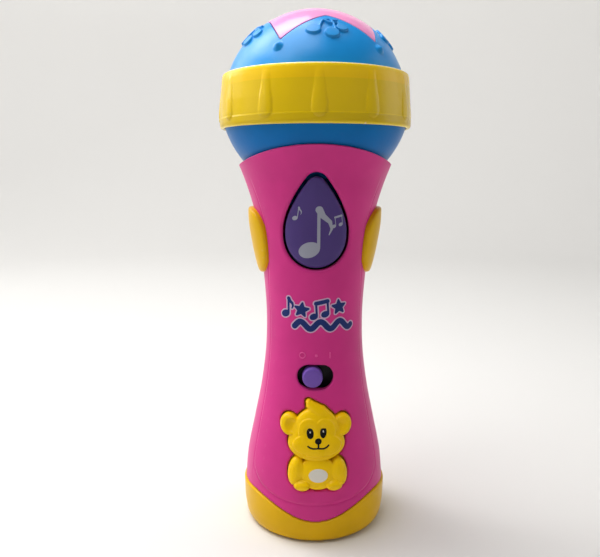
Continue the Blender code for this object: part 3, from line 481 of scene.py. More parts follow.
def moulded(name, colour, roughness, drift=0.06, peel=0.02, scratches=0.05, coat=0.0, glow=0.0, clear=0.0,
            metal=0.0, bump=0.00006, shine=0.25, wear=0.22):
    """Moulded plastic or another even finish: faint colour drift, paler worn edges, uneven gloss with
    fine handling marks, and a fine moulding texture."""
    material, tree, shader = new_material(name)
    light, dark = ((*(min(c * (1 + s * drift), 1.0) for c in colour), 1) for s in (1, -1))
    fresh = mixed(tree, mapped(tree, noise(tree, 55), 0.3, 0.7, 0, 1), dark, light)
    edges = mapped(tree, add_node(tree, "NewGeometry", "Pointiness", {}), 0.515, 0.57, 0, wear)
    rubbed = add_node(tree, "Math", 0, {0: edges, 1: mapped(tree, noise(tree, 900), 0.42, 0.62, 0.2, 1)},
                      operation="MULTIPLY")
    pale = (*(0.7 * c + 0.3 * max(colour) for c in colour), 1)
    marks = mapped(tree, noise(tree, 260, 4.0, (1.0, 1.0, 0.12)), 0.62, 0.78, 0, scratches)
    gloss = mapped(tree, noise(tree, 190, 4.0), 0.3, 0.7, roughness - peel, roughness + peel)
    lumps = {"Strength": 0.35, "Distance": bump, "Height": noise(tree, 700, 2.0)}
    feed(tree, shader, {
        "Base Color": mixed(tree, rubbed, fresh, pale),
        "Roughness": add_node(tree, "Math", 0, {0: gloss, 1: marks}),
        "Normal": add_node(tree, "Bump", "Normal", lumps),
        "Metallic": metal, "Specular IOR Level": shine, "Coat Weight": coat, "Coat Roughness": 0.08,
        "Subsurface Weight": glow, "Subsurface Radius": (0.004, 0.003, 0.002), "Subsurface Scale": 1.0,
        "Transmission Weight": clear, "IOR": 1.49})
    return material


def paint_light_by_height(material, stops):
    """Multiplies a colour between heights in metres, to paint light and shade in bands across clear
    plastic.
    """
    tree = material.node_tree
    base = tree.nodes["Principled BSDF"].inputs["Base Color"]
    low, high = stops[0][0], stops[-1][0]
    ramp = tree.nodes.new("ShaderNodeValToRGB")
    for i in range(len(stops) - 2):
        ramp.color_ramp.elements.new((i + 1) / len(stops))
    for element, (z, colour) in zip(ramp.color_ramp.elements, stops):
        element.position = (z - low) / (high - low)
        element.color = (*colour, 1)
    height = add_node(tree, "SeparateXYZ", "Z", {0: add_node(tree, "TexCoord", "Object", {})})
    feed(tree, ramp, {"Fac": mapped(tree, height, low, high, 0, 1)})
    tint = mixed(tree, 1, base.links[0].from_socket, ramp.outputs["Color"], blend_type="MULTIPLY",
                 clamp_result=True)
    tree.links.new(tint, base)


def flat_paint(name, colour, roughness=0.5):
    return moulded(name, colour, roughness, drift=0.03, scratches=0.02, bump=0.00002)


PINK = moulded("pink_plastic", (0.66, 0.034, 0.245), 0.37, shine=0.2, wear=0.08)
PINK_MARK = moulded("pink_mark", (0.80, 0.085, 0.36), 0.34)
BLUE = moulded("blue_plastic", (0.010, 0.275, 0.700), 0.30, shine=0.3)
# A darker copy of the blue plastic with less shine, for the bowl under the band: painted shade where the
# overhead light does not reach
SHADED_BLUE = moulded("blue_plastic_painted_shade", (0.0015, 0.150, 0.460), 0.30, shine=0.12)
YELLOW = moulded("yellow_plastic", (0.76, 0.44, 0.003), 0.30, shine=0.12)
# A lighter copy of the yellow plastic for the animal button: painted light, for a face that tips up
# towards the lamps
LIT_YELLOW = moulded("yellow_plastic_painted_light", (0.93, 0.58, 0.001), 0.28, shine=0.16)
PURPLE = moulded("purple_plastic", (0.068, 0.036, 0.190), 0.34)
VIOLET = moulded("violet_plastic", (0.165, 0.080, 0.420), 0.34)
BAND = moulded("clear_yellow_plastic", (0.82, 0.56, 0.001), 0.22, coat=0.06, drift=0.03, shine=0.3)
# Painted light on the band: bright lines painted along its foot, its fine step and its top edge, a paler
# top, and a painted shade band just above the foot
paint_light_by_height(BAND, ((0.1698, (1.12, 1.3, 12)), (0.1704, (1.06, 1.12, 6)), (0.1709, (0.84, 0.84, 1)),
                      (0.1737, (0.84, 0.84, 1)), (0.1740, (1.06, 1.1, 4)), (0.1744, (0.94, 0.94, 1)),
                      (0.1858, (1.0, 0.98, 1)), (0.1862, (1.12, 1.04, 1)), (0.1896, (1.18, 1.1, 1)),
                      (0.1907, (1.2, 1.2, 6)), (0.1914, (1.2, 1.42, 20))))
STAR = moulded("clear_pink_plastic", (0.86, 0.31, 0.58), 0.2, coat=0.1, drift=0.03)
BLACK = moulded("black_plastic", (0.006, 0.006, 0.008), 0.5)
PRINT_PALE = flat_paint("pale_print", (0.33, 0.34, 0.42))
PRINT_BLUE = flat_paint("blue_print", (0.004, 0.022, 0.150), 0.35)
PRINT_EDGE = flat_paint("print_edge", (0.60, 0.42, 0.60), 0.4)
INK = flat_paint("black_ink", (0.004, 0.004, 0.004), 0.22)
WHITE = flat_paint("white_paint", (0.74, 0.70, 0.62), 0.35)
STEEL = moulded("zinc_steel", (0.60, 0.60, 0.62), 0.30, metal=1.0, scratches=0.2)
GREY = moulded("grey_plastic", (0.20, 0.20, 0.21), 0.45)
WHITE_PLASTIC = moulded("white_plastic", (0.76, 0.75, 0.72), 0.4)
BOARD = moulded("board_green", (0.012, 0.120, 0.030), 0.35, drift=0.25)
SILICONE = moulded("silicone", (0.62, 0.62, 0.60), 0.6, glow=0.2)
JACKET = moulded("cell_jacket", (0.03, 0.05, 0.10), 0.25, metal=0.4)
WIRE_RED = moulded("wire_red", (0.55, 0.015, 0.012), 0.4)
LAMP = moulded("lamp_clear", (0.85, 0.86, 0.88), 0.08, clear=0.7)
SLOTS = {"handle_pink": PINK, "dome_blue": BLUE, "trim_yellow": YELLOW, "band_clear_yellow": BAND,
         "star_clear_pink": STAR, "button_purple": PURPLE, "knob_violet": VIOLET, "black_plastic": BLACK,
         "grey_plastic": GREY, "white_plastic": WHITE_PLASTIC, "board_green": BOARD, "steel": STEEL,
         "silicone": SILICONE, "cell_jacket": JACKET, "wire_red": WIRE_RED, "lamp_clear": LAMP}


# ---- handle

def panel_foot(arc_share):
    """Height of the panel's lower edge, a U, at a share of its half angle."""
    share = (1 - np.clip(arc_share, 0, 1) ** 2.3) ** (1 / 3.3)
    return PANEL_FOOT + 20.0 * (1 - share)


def panel_rise(azimuth, height):
    """How far the raised front panel stands above the plain handle, with a fine groove round it."""
    dip = 6.0 * np.sin(np.pi * np.clip((height - 104) / 46, 0, 1))
    millimetres = np.radians(1) * handle_radius(height)
    side = (PANEL_HALF_ANGLE - dip - np.abs(azimuth)) * millimetres
    share = np.clip(np.abs(azimuth) / PANEL_HALF_ANGLE, 0, 0.995)
    step = 0.004
    rate = (panel_foot(share + step) - panel_foot(share - step)) / (2 * step)
    slope = rate / (PANEL_HALF_ANGLE * millimetres)
    foot = (height - panel_foot(share)) / np.sqrt(1 + slope * slope)
    inside = np.where(height < 60, blend(side, foot, 1.5), side)
    fade = 1 - ease(PANEL_TOP - 8, PANEL_TOP + 2, height)
    groove = 0.2 * np.exp(-((inside + 0.55) / 0.3) ** 2)
    bevel = np.clip((inside + 0.4) / 1.3, 0, 1)
    return (PANEL_RISE * bevel - groove) * fade


def holes(u, w):
    """Distance to the nearest hole in the front, with each hole's own lip radius."""
    animal = animal_field(u, w) - 0.75
    return (drop_field(u, w, 0.75, 0.9), 1.3), (slot_field(u, w), 0.5), (animal, 0.55)


def front_relief(azimuth, height):
    radius = handle_radius(height)
    out = radius + panel_rise(azimuth, height)
    for distance, lip in holes(np.radians(azimuth) * radius, height):
        out -= quarter(np.maximum(distance, -0.2), lip)
    return out


def seam_drop(azimuth, height, middle):
    """The small round-over along both side seams of a handle half."""
    edge = (90 - np.abs(azimuth - middle)) * np.radians(1) * handle_radius(height)
    return quarter(np.maximum(edge - 0.1, 0), SEAM_ROUND)


def handle_half(name, middle, relief, columns, rows):
    """Half of the handle as a closed shell from inside the cap to the collar."""
    reach = 90 - np.degrees(SEAM_GAP / 25)
    turn = np.sin(np.linspace(-np.pi / 2, np.pi / 2, columns)) * 0.05 + np.linspace(-1, 1, columns) * 0.95
    azimuth = middle + turn * reach
    share = np.linspace(0, 1, rows)[:, None]
    top = collar_edge(azimuth)
    rim = top - COLLAR_ROUND
    outer_z = SHELL_FOOT + (rim - SHELL_FOOT) * share
    outer_r = relief(azimuth - middle, outer_z) - seam_drop(azimuth, outer_z, middle)
    inner_z = rim + (SHELL_FOOT - rim) * np.linspace(0, 1, 44)[:, None]
    inner_r = inner_radius(inner_z) + 0 * azimuth
    thick = outer_r[-1] - inner_r[0]
    arc = np.linspace(0, np.pi, 9)[1:-1, None]
    rim_r = inner_r[0] + thick / 2 + thick / 2 * np.cos(arc)
    rim_z = rim + COLLAR_ROUND * np.sin(arc)
    radii = np.vstack([outer_r, rim_r, inner_r])
    heights = np.vstack([outer_z, rim_z, inner_z])
    covered = heights[:rows] < cap_edge(azimuth) + 0.3
    radii[:rows] = np.where(covered, np.minimum(radii[:rows], SPIGOT_RADIUS), radii[:rows])
    count = len(radii)
    faces = grid_faces(count, columns, wrap_rows=True)
    ends = [tuple(i * columns + c for i in range(count)) for c in (0, columns - 1)]
    return fix_normals(add_mesh(name, on_round(radii, azimuth, heights), faces + ends, PINK))


def flat(x, y, z):
    return np.stack([x, y + 0 * x, z], axis=-1)


def straight_cutter(field, box, step):
    """A closed block through the front wall over the shape of a field."""
    def at(y):
        return lambda u, w: flat(handle_radius(w) * np.sin(u / handle_radius(w)), y, w)
    return fix_normals(raised("cutter", field, box, step, at(-60), at(-12), PINK, closed=True))


def front_shell():
    shell = handle_half("front_shell_look", 0, front_relief, 300, 400)
    for field, box, step in ((lambda u, w: drop_field(u, w, 0.7, 0.9), ((-16, 16), (110, 156)), 0.35),
                             (lambda u, w: slot_field(u, w, -0.05), ((-9, 9), (63, 76)), 0.3),
                             (lambda u, w: animal_field(u, w) - 0.7, ((-18, 18), (20, 64)), 0.3)):
        carve(shell, straight_cutter(field, box, step))
    return sharpen(shell, 40)


# ---- animal button

def animal_parts(u, w):
    """The parts of the sitting animal as fields over arc and height."""
    crown, cheeks = disc(u, w, 0.4, 48.0, 9.4), oval(u, w, 0.45, 43.2, 11.8, 7.1)
    tuft = strokes(u, w, [(-2.7, 59.6), (-1.9, 58.4), (-0.4, 56.9), (1.4, 55.4)], 1.2, 3.3)
    return {
        "head": blend(blend(crown, cheeks, 3.0), blend(tuft, disc(u, w, 2.2, 53.4, 4.0), 1.0), 0.6),
        "ear_left": oval(u, w, -10.6, 50.2, 4.0, 4.5, 14),
        "ear_right": oval(u, w, 11.1, 50.0, 4.0, 4.5, -14),
        "body": oval(u, w, 1.0, 31.2, 7.9, 6.6),
        "arm_left": oval(u, w, -7.9, 31.9, 3.3, 5.9, -9), "arm_right": oval(u, w, 9.6, 31.6, 3.4, 5.9, 9),
        "foot_left": oval(u, w, -5.3, 26.6, 3.5, 2.5), "foot_right": oval(u, w, 7.4, 26.7, 3.5, 2.5),
    }


def animal_field(u, w):
    """Outline of the whole animal."""
    parts = animal_parts(u, w)
    out = np.minimum(parts["head"], parts["body"])
    for name in ("ear_left", "ear_right", "arm_left", "arm_right", "foot_left", "foot_right"):
        out = blend(out, parts[name], 0.5)
    return out


def puff(field, reach, rise):
    """A cushion over a field: rise inside, rounded to 0 at its edge."""
    t = 1 - np.clip(-field / reach, 0, 1)
    return rise * np.sqrt(np.maximum(1 - t * t, 0))


def soft_max(a, b, reach):
    return -blend(-a, -b, reach)


def animal_height(u, w):
    """How far the animal's face stands above the plain handle."""
    parts = animal_parts(u, w)
    base = 0.7
    out = base + puff(parts["body"], 4.0, 1.7)
    belly = oval(u, w, 1.0, 31.2, 4.0, 3.1)
    out = out + 0.3 * ease(-0.25, 0.4, -belly)
    for side, x in (("left", -9.0), ("right", 9.5)):
        hollow = oval(u, w, x, 50.1, 2.2, 2.6)
        ear = base + puff(parts["ear_" + side], 1.8, 2.0) - 1.5 * ease(-0.9, 1.5, -hollow)
        out = soft_max(out, ear, 0.2)
        out = soft_max(out, base + puff(parts["arm_" + side], 3.4, 2.3), 1.2)
        out = soft_max(out, base + puff(parts["foot_" + side], 2.3, 2.9), 0.15)
    eyes = np.minimum(oval(u, w, -2.4, 49.0, 3.9, 4.7, -8), oval(u, w, 3.6, 49.0, 3.9, 4.7, 8))
    muzzle = oval(u, w, 0.7, 43.3, 9.2, 4.7)
    head = base + puff(parts["head"], 5.0, 2.2)
    head = head + 0.36 * ease(-0.3, 0.3, -np.minimum(eyes, muzzle)) + 0.35 * puff(muzzle, 4.5, 1.0)
    socket = np.minimum(oval(u, w, -2.0, 48.0, 1.9, 2.8), oval(u, w, 3.3, 48.2, 1.9, 2.8))
    head = head - 0.3 * ease(-1.0, 1.0, -socket)
    return soft_max(out, head, 0.15)


def animal_surface(lift=0.0):
    return lambda u, w: on_front(u, w, animal_height(u, w) - quarter(-animal_field(u, w), 0.7) + lift)


def animal_button():
    # The animal's face and flange use the lighter copy of the yellow, which is painted light
    face = raised("animal_button_look", animal_field, ((-17, 17), (21, 63)), 0.14, animal_surface(),
                  lambda u, w: on_front(u, w, -3.5), LIT_YELLOW, sharp=50)
    mouth = [(-2.7, 43.1), (-2.0, 42.55), (-0.9, 42.2), (1.05, 42.3), (2.8, 42.2), (3.9, 42.65),
             (4.7, 43.5)]
    prints = []
    for name, field, material, step in (
            ("eye_left", lambda u, w: oval(u, w, -1.95, 48.0, 1.3, 2.1, 4), INK, 0.1),
            ("eye_right", lambda u, w: oval(u, w, 2.85, 48.4, 1.2, 2.15, -4), INK, 0.1),
            ("nose", lambda u, w: disc(u, w, 1.0, 45.1, 1.2), INK, 0.1),
            ("mouth", lambda u, w: np.minimum(stroke(u, w, (1.0, 44.3), (1.05, 42.5), 0.33),
                                              strokes(u, w, mouth, 0.32)), INK, 0.1),
            ("belly", lambda u, w: oval(u, w, 1.0, 31.2, 3.55, 2.7), WHITE, 0.15),
            ("glint_left", lambda u, w: oval(u, w, -1.95, 48.4, 0.22, 0.45), WHITE, 0.07),
            ("glint_right", lambda u, w: oval(u, w, 2.85, 48.8, 0.22, 0.45), WHITE, 0.07)):
        lift = 0.09 if "glint" in name else 0.05
        surface = animal_surface(lift)
        prints.append(printed("animal_" + name, field, ((-6, 7), (26, 50)), surface, material, step))
    flange = raised("animal_flange", lambda u, w: animal_field(u, w) - 1.6, ((-19, 19), (19, 65)), 0.3,
                    lambda u, w: behind_front(u, w, 0.5), lambda u, w: behind_front(u, w, 1.3), LIT_YELLOW,
                    sharp=50)
    return joined("animal_button_face", face, flange, *prints)


# ---- melody button

def drop_rise(u, w):
    """Height of the melody button's face: a low dome that falls off in a round edge."""
    inside = -drop_field(u, w)
    return 0.15 + 1.1 * (1 - np.exp(-inside / 4.5)) - quarter(inside, 1.3)


def note(u, w, x, z, size, turn=0.0):
    """A single note: a tilted oval head, a stem and a flag. Size is the height of the stem."""
    p, q = (c / size for c in turned_to(u, w, x, z, turn))
    head = oval(p, q, 0, 0, 0.25, 0.18, 22)
    stem = stroke(p, q, (0.21, 0.05), (0.21, 0.98), 0.035)
    curl = [(0.22, 0.94), (0.30, 0.80), (0.46, 0.66), (0.50, 0.50), (0.44, 0.36)]
    return np.minimum.reduce([head, stem, strokes(p, q, curl, 0.085, 0.01)]) * size


def pair_of_notes(u, w, x, z, size, turn=0.0):
    """Two notes joined by a beam."""
    p, q = (c / size for c in turned_to(u, w, x, z, turn))
    out = np.minimum(oval(p, q, -0.35, 0, 0.22, 0.16, 20), oval(p, q, 0.35, 0.1, 0.22, 0.16, 20))
    for start, end, width in (((-0.16, 0.05), (-0.16, 0.85), 0.03), ((0.54, 0.15), (0.54, 0.95), 0.03),
                              ((-0.16, 0.82), (0.54, 0.92), 0.09)):
        out = np.minimum(out, stroke(p, q, start, end, width))
    return out * size


def melody_button():
    def surface(lift):
        return lambda u, w: on_front(u, w, drop_rise(u, w) + lift)
    face = raised("melody_button_look", drop_field, ((-15, 15), (113, 153)), 0.2, surface(0),
                  lambda u, w: on_front(u, w, -4.0), PURPLE, sharp=50)
    marks = (("large", lambda u, w: note(u, w, -2.6, 122.3, 17.0), ((-9, 9), (117, 141)), 0.14),
             ("left", lambda u, w: note(u, w, -8.2, 135.0, 4.6, -8), ((-12, -4), (132, 141)), 0.1),
             ("right", lambda u, w: pair_of_notes(u, w, 8.2, 131.9, 4.2, 6), ((4, 12), (129, 137)), 0.1))
    prints = [printed("print_" + name, field, box, surface(0.05), PRINT_PALE, step)
              for name, field, box, step in marks]
    return joined("melody_button_face", face, *prints)


def power_knob():
    low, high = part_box("power_knob")
    x, z = (low.x + high.x) / 2 / MM, (low.z + high.z) / 2 / MM
    front = low.y / MM
    corners = [(0, front + 0.2), (3.1, front + 0.3), (4.15, front + 0.7), (4.2, -18.0), (0, -18.0)]
    return turned("power_knob_look", bent(corners, 0.9, 6), VIOLET, 96, "Y", (x, 0, z))


def shell_marks():
    """Off and on marks above the switch, raised from the shell."""
    def field(u, w):
        ring = np.abs(disc(u, w, -5.2, 78.6, 1.15)) - 0.2
        bar = stroke(u, w, (5.9, 77.5), (5.9, 79.7), 0.24)
        return np.minimum.reduce([ring, bar, disc(u, w, 0.35, 78.6, 0.55)])
    return raised("switch_marks", field, ((-8, 8), (76, 81)), 0.08,
                  lambda u, w: on_front(u, w, PANEL_RISE + 0.34 - quarter(-field(u, w), 0.12)),
                  lambda u, w: on_front(u, w, 0.3), PINK_MARK, sharp=50)


def star_field(u, w, x, z, size, turn=0.0):
    corners = []
    for i in range(10):
        angle = math.radians(turn + 36 * i)
        reach = size if i % 2 == 0 else 0.46 * size
        corners.append((x + reach * math.sin(angle), z + reach * math.cos(angle)))
    return polygon(u, w, corners) - 0.15


def ornament(u, w):
    """A row of notes and stars over a wave."""
    wave = [(x, 91.2 + 1.5 * math.sin(x * 0.78)) for x in np.arange(-8.5, 15.6, 0.5)]
    return np.minimum.reduce([
        note(u, w, -12.6, 95.6, 6.8), star_field(u, w, -5.6, 97.6, 2.9, 8),
        pair_of_notes(u, w, 1.6, 95.0, 6.6, 4), star_field(u, w, 9.6, 98.6, 2.9, -6),
        strokes(u, w, wave, 0.95)])


def shell_prints():
    """The ornament in blue with a pale edge."""
    def layer(name, grow, lift, material):
        return printed(name, lambda u, w: ornament(u, w) - grow, ((-18, 18), (86, 104)),
                       lambda u, w: on_front(u, w, PANEL_RISE + lift), material)
    return joined("ornament", layer("edge", 0.75, 0.03, PRINT_EDGE), layer("ink", 0.25, 0.06, PRINT_BLUE))


# ---- rear, pads, cap

def rounded_box(u, w, x, z, half, corner):
    dx, dz = np.abs(u - x) - half[0] + corner, np.abs(w - z) - half[1] + corner
    return np.hypot(np.maximum(dx, 0), np.maximum(dz, 0)) + np.minimum(np.maximum(dx, dz), 0) - corner


def rear_y(x, z, depth=0.0):
    """Depth of the rear wall at a place, a distance below its surface."""
    return np.sqrt(np.maximum((handle_radius(z) - depth) ** 2 - x * x, 0.01))


def rear_relief(azimuth, height):
    """The rear wall, with soft lips round the door's opening and the wells and a rim round the grille."""
    radius = handle_radius(height) + 0 * azimuth
    x = radius * np.sin(np.radians(azimuth))
    opening = rounded_box(x, height, *OPENING)
    out = radius - quarter(np.maximum(opening, 0), 0.5)
    for side, z in SCREWS:
        out = out - quarter(np.maximum(np.hypot(np.abs(x) - side, height - z) - WELL_RADIUS, 0), 0.5)
    ring = np.abs(np.hypot(x, height - GRILLE_HEIGHT) - GRILLE_RIM)
    return out - 0.45 * (1 - ease(0.25, 0.75, ring))


def well(x, z):
    """The tube that a casing screw sits in, from the rear wall down to the screw's head."""
    angle = np.linspace(0, math.tau, 40, endpoint=False)
    rows = []
    for radius, floor in ((4.0, None), (4.0, 5.2), (0.2, 5.2), (0.2, 5.6), (WELL_RADIUS, 5.6),
                          (WELL_RADIUS, None)):
        px, pz = x + radius * np.cos(angle), z + radius * np.sin(angle)
        rows.append(flat(px, rear_y(px, pz, 1.1) if floor is None else floor, pz))
    return ring_mesh("well", np.array(rows), PINK, closed=True)


def rear_shell():
    shell = handle_half("rear_shell_look", 180, rear_relief, 300, 360)
    cutters = []
    for ring, count in enumerate((1, 6, 12)):
        for i in range(count):
            angle = math.tau * (i + 0.5 * ring) / count
            away = GRILLE_PITCH * ring
            x, z = away * math.cos(angle), GRILLE_HEIGHT + away * math.sin(angle)
            cutters.append(rod("cutter", (x, 15.5, z), (x, 40, z), 1.2, PINK, 20))
    places = [(side, z) for x, z in SCREWS for side in (-x, x)]
    cutters += [rod("cutter", (x, 4.0, z), (x, 40, z), WELL_RADIUS, PINK, 40) for x, z in places]

    def at(y):
        return lambda u, w: flat(u, y, w)
    opening = raised("cutter", lambda u, w: rounded_box(u, w, *OPENING), ((-17, 17), (15, 87)), 0.5,
                     at(2.0), at(45.0), PINK, closed=True)
    cutters.append(fix_normals(opening))
    carve(shell, joined("cutters", *cutters))
    return sharpen(joined("rear_shell_wall", shell, *(well(x, z) for x, z in places)), 40)


def battery_door():
    """The cover over the cells: finger ridges, a screw well at its top and two hooks at its foot."""
    def field(u, w):
        screw_hole = WELL_RADIUS - np.hypot(u, w - DOOR_SCREW)
        return np.maximum(rounded_box(u, w, 0, DOOR_MIDDLE, DOOR_HALF, 4.0), screw_hole)

    def outside(u, w):
        drop = quarter(-field(u, w), 0.5)
        away = np.abs(w - GRIP_HEIGHT)
        grip = ease(-0.3, 0.3, 6.5 - np.abs(u) - 0.25 * away) * ease(-0.3, 0.3, 5.4 - away)
        drop = drop + 0.5 * grip * (0.5 + 0.5 * np.cos(math.tau * away / GRIP_PITCH))
        frame_line = np.abs(rounded_box(u, w, 0, 44.0, (10.5, 16.0), 3.0))
        drop = drop + 0.35 * (1 - ease(0.2, 0.6, frame_line))
        return flat(u, rear_y(u, w, drop), w)

    def inside(u, w):
        return flat(u, rear_y(u, w, 1.9), w)
    panel = raised("door_panel", field, ((-17, 17), (16, 86)), 0.3, outside, inside, PINK, closed=True)
    y = float(rear_y(0, DOOR_SCREW))
    corners = [(3.3, y - 1.0), (3.3, 14.0), (1.4, 14.0), (1.4, 16.6), (WELL_RADIUS, 16.6),
               (WELL_RADIUS, y - 0.9)]
    parts = [fix_normals(panel), turned("boss", bent(corners, 0.2, 3), PINK, 40, "Y", (0, 0, DOOR_SCREW))]
    for x in (-8.5, 8.5):
        parts += [soft_block("hook", (x - 2, 22.9, 13.9), (x + 2, 24.1, 19.5), 0.25, PINK),
                  soft_block("hook", (x - 1.9, 23.1, 17.9), (x + 1.9, 28.0, 19.3), 0.25, PINK)]
    return sharpen(joined("battery_door_look", *parts), 40)


def soft_block(name, low, high, edge, material):
    """A block with rounded edges."""
    bm = bmesh.new()
    bmesh.ops.create_cube(bm, size=1)
    size, middle = Vector(high) - Vector(low), (Vector(high) + Vector(low)) / 2
    bm.transform(Matrix.Translation(middle) @ Matrix.Diagonal((*size, 1)))
    bmesh.ops.bevel(bm, geom=bm.edges[:], offset=edge, segments=2, affect="EDGES", profile=0.5)
    bm.transform(Matrix.Scale(MM, 4))
    return from_bmesh(name, bm, material)


def screw(name, head, tip):
    """A pan-head screw with a cross recess and a thread; head is the outside of its head."""
    head, tip = Vector(head), Vector(tip)
    length = (tip - head).length
    profile = bent([(0, 0), (1.5, 0.05), (2.25, 0.55), (2.25, 1.3), (1.1, 1.3)], 0.3, 4)
    z = 1.5
    while z < length - 1.4:
        profile += [(1.05, z), (1.2, z + 0.25), (1.05, z + 0.5)]
        z += 0.7
    profile += [(1.0, length - 1.2), (0.15, length), (0, length)]
    body = turned(name, profile, STEEL, 48)
    for turn in (0, 1):
        arm = soft_block("recess", (-1.35, -0.26, -0.5), (1.35, 0.26, 0.75), 0.08, STEEL)
        arm.data.transform(Matrix.Rotation(turn * math.pi / 2, 4, "Z"))
        carve(body, arm)
    direction = (tip - head).to_track_quat("Z", "Y").to_matrix().to_4x4()
    body.data.transform(Matrix.Translation(head * MM) @ direction)
    return sharpen(body, 35)


def rubber_dome(name, x, z):
    """The silicone dome that a button presses, in its resting shape; the real one flattens as the button
    moves in.
    """
    low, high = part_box(name)
    front, back = low.y / MM, high.y / MM
    profile = bent([(0, front), (2.4, front), (2.6, front + 1.1), (4.4, back - 1.3), (5.1, back - 0.8),
                    (5.1, back), (3.6, back), (2.2, front + 1.9), (0, front + 1.7)], 0.5, 4)
    dome = turned(name + "_look", profile, SILICONE, 64, "Y", (x, 0, z))
    place(dome, "case", name, slot="silicone")
    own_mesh(dome)


def base_cap():
    """The cap under the handle: a thin floor, a wall with a wavy top edge and a round lip."""
    azimuth = np.linspace(0, 360, 360, endpoint=False)
    top, low = cap_edge(azimuth), 8.0
    middle, half = (cap_radius(top) + CAP_INSIDE) / 2, (cap_radius(top) - CAP_INSIDE) / 2
    rows = [(0, 0), (27.0, 0)]
    rows += [(cap_radius(z), z) for z in (0, 0.12, 0.3, 0.6, 1.0, 1.6, 2.4, 3.6, 5.5, low)]
    wall = [low + (top - CAP_LIP - low) * t for t in np.linspace(0.05, 1, 14)]
    rows += [(cap_radius(z), z) for z in wall]
    rows += [(middle + half * math.cos(a), top + CAP_LIP * (math.sin(a) - 1))
             for a in np.radians(np.linspace(15, 165, 9))]
    rows += [(CAP_INSIDE, 6.0), (CAP_INSIDE, 2.4)]
    radii, heights = (np.array([value + 0 * azimuth for value in column]) for column in zip(*rows))
    return ring_mesh("base_cap_look", on_round(radii, azimuth, heights), YELLOW)


def side_pad(name, side):
    """A low cushion with a soft edge on the side seam."""
    def field(u, w):
        p, q = np.abs(u) / (PAD_HALF + 0.1), np.abs(w - PAD_MIDDLE) / PAD_HALF
        return ((p ** PAD_POWER + q ** PAD_POWER + 1e-9) ** (1 / PAD_POWER) - 1) * PAD_HALF

    def at(u, w, rise):
        return on_round(handle_radius(w) + rise, side * 90 + np.degrees(u / PAD_RADIUS), w)

    def surface(u, w):
        inside = -field(u, w)
        edge = 1 - np.clip(inside / PAD_HALF, 0, 1)
        sink = 0.5 * np.clip(0.5 - (w - PAD_MIDDLE) / PAD_HALF, 0, 1)
        crown = 2.8 * np.sqrt(np.clip(1 - 0.9 * edge ** 2, 0, 1))
        return at(u, w, 1.1 - sink + crown - quarter(inside, 0.9))
    return fix_normals(raised(name, field, ((-16, 16), (109, 140)), 0.3, surface,
                              lambda u, w: at(u, w, -1.5), YELLOW))


# ---- head

def from_nearest(azimuth, first, step):
    """Angle from the nearest of the azimuths that repeat at a step, starting with first."""
    return (azimuth - first + step / 2) % step - step / 2


def star_edge(azimuth, grow=0.0):
    """Angle down from the top to the star's edge, for each azimuth."""
    away = np.abs(np.radians(from_nearest(azimuth, FIRST_TIP, STAR_STEP)))
    tip, dip = math.tan(math.radians(STAR_TIP)), math.tan(math.radians(STAR_NOTCH))
    tip_point = np.array([tip, 0.0])
    half_step = math.radians(STAR_STEP / 2)
    dip_point = dip * np.array([math.cos(half_step), math.sin(half_step)])
    along = dip_point - tip_point
    normal = np.array([along[1], -along[0]]) / np.linalg.norm(along)
    reach = normal @ tip_point / (normal[0] * np.cos(away) + normal[1] * np.sin(away))
    return np.degrees(np.arctan(np.minimum(reach, 0.98 * tip))) + grow


def decoration(azimuth, down):
    """Height of the raised notes and bumps on the upper dome."""
    turn = from_nearest(azimuth, FIRST_NOTCH, STAR_STEP)
    u = turn * HEAD_ARC * math.sin(math.radians(NOTES_SPREAD))
    w = -(down - NOTES_DOWN) * HEAD_ARC
    shape = np.minimum.reduce([
        oval(u, w, -6.3, -2.2, 2.9, 2.5), oval(u, w, 0.2, -4.0, 2.7, 2.5),
        oval(u, w, 4.4, -1.2, 2.4, 2.1),
        strokes(u, w, [(-4.3, -2.0), (-3.6, 0.6), (-2.9, 2.4), (-1.6, 3.2), (-0.2, 3.3)], 0.62),
        strokes(u, w, [(-2.2, 3.1), (-0.5, 1.6), (0.6, 1.1)], 0.6),
        strokes(u, w, [(1.6, -2.6), (1.5, 0.2), (0.9, 2.6), (3.3, 2.9)], 0.62),
        stroke(u, w, (1.3, 1.0), (3.2, 1.2), 0.55), stroke(u, w, (3.3, -0.2), (3.2, 1.2), 0.5)])
    notes = 0.95 * ease(-0.12, 0.42, -shape)
    side = from_nearest(azimuth, FIRST_TIP, STAR_STEP)
    bump_u = side * HEAD_ARC * math.sin(math.radians(BUMP_DOWN))
    bump_w = (down - BUMP_DOWN) * HEAD_ARC
    return np.maximum(notes, 1.35 * ease(0, 2.5, 2.5 - np.hypot(bump_u, bump_w)))


def upper_dome():
    """The dome round the star, from the star's edge down behind the band."""
    azimuth = np.linspace(0, 360, 1500, endpoint=False)
    start = star_edge(azimuth, 0.42)
    last = math.degrees(math.acos((186.7 - HEAD_HEIGHT) / HEAD_RADIUS))
    share = np.concatenate([np.linspace(0, 0.04, 6)[:-1], np.linspace(0.04, 1, 150)])[:, None]
    down = start + (last - start) * share
    edge = (down - start) * HEAD_ARC * SLANT
    rise = decoration(azimuth, down) * ease(0.2, 0.9, edge)
    radius = HEAD_RADIUS + rise - quarter(edge, 0.45)
    wall = np.array([HEAD_RADIUS - 0.9, HEAD_RADIUS - 1.6, HEAD_RADIUS - 2.1])[:, None]
    points = np.vstack([on_head(wall[::-1], azimuth, start), on_head(radius, azimuth, down)])
    return ring_mesh("upper_dome_look", points, BLUE, 50)


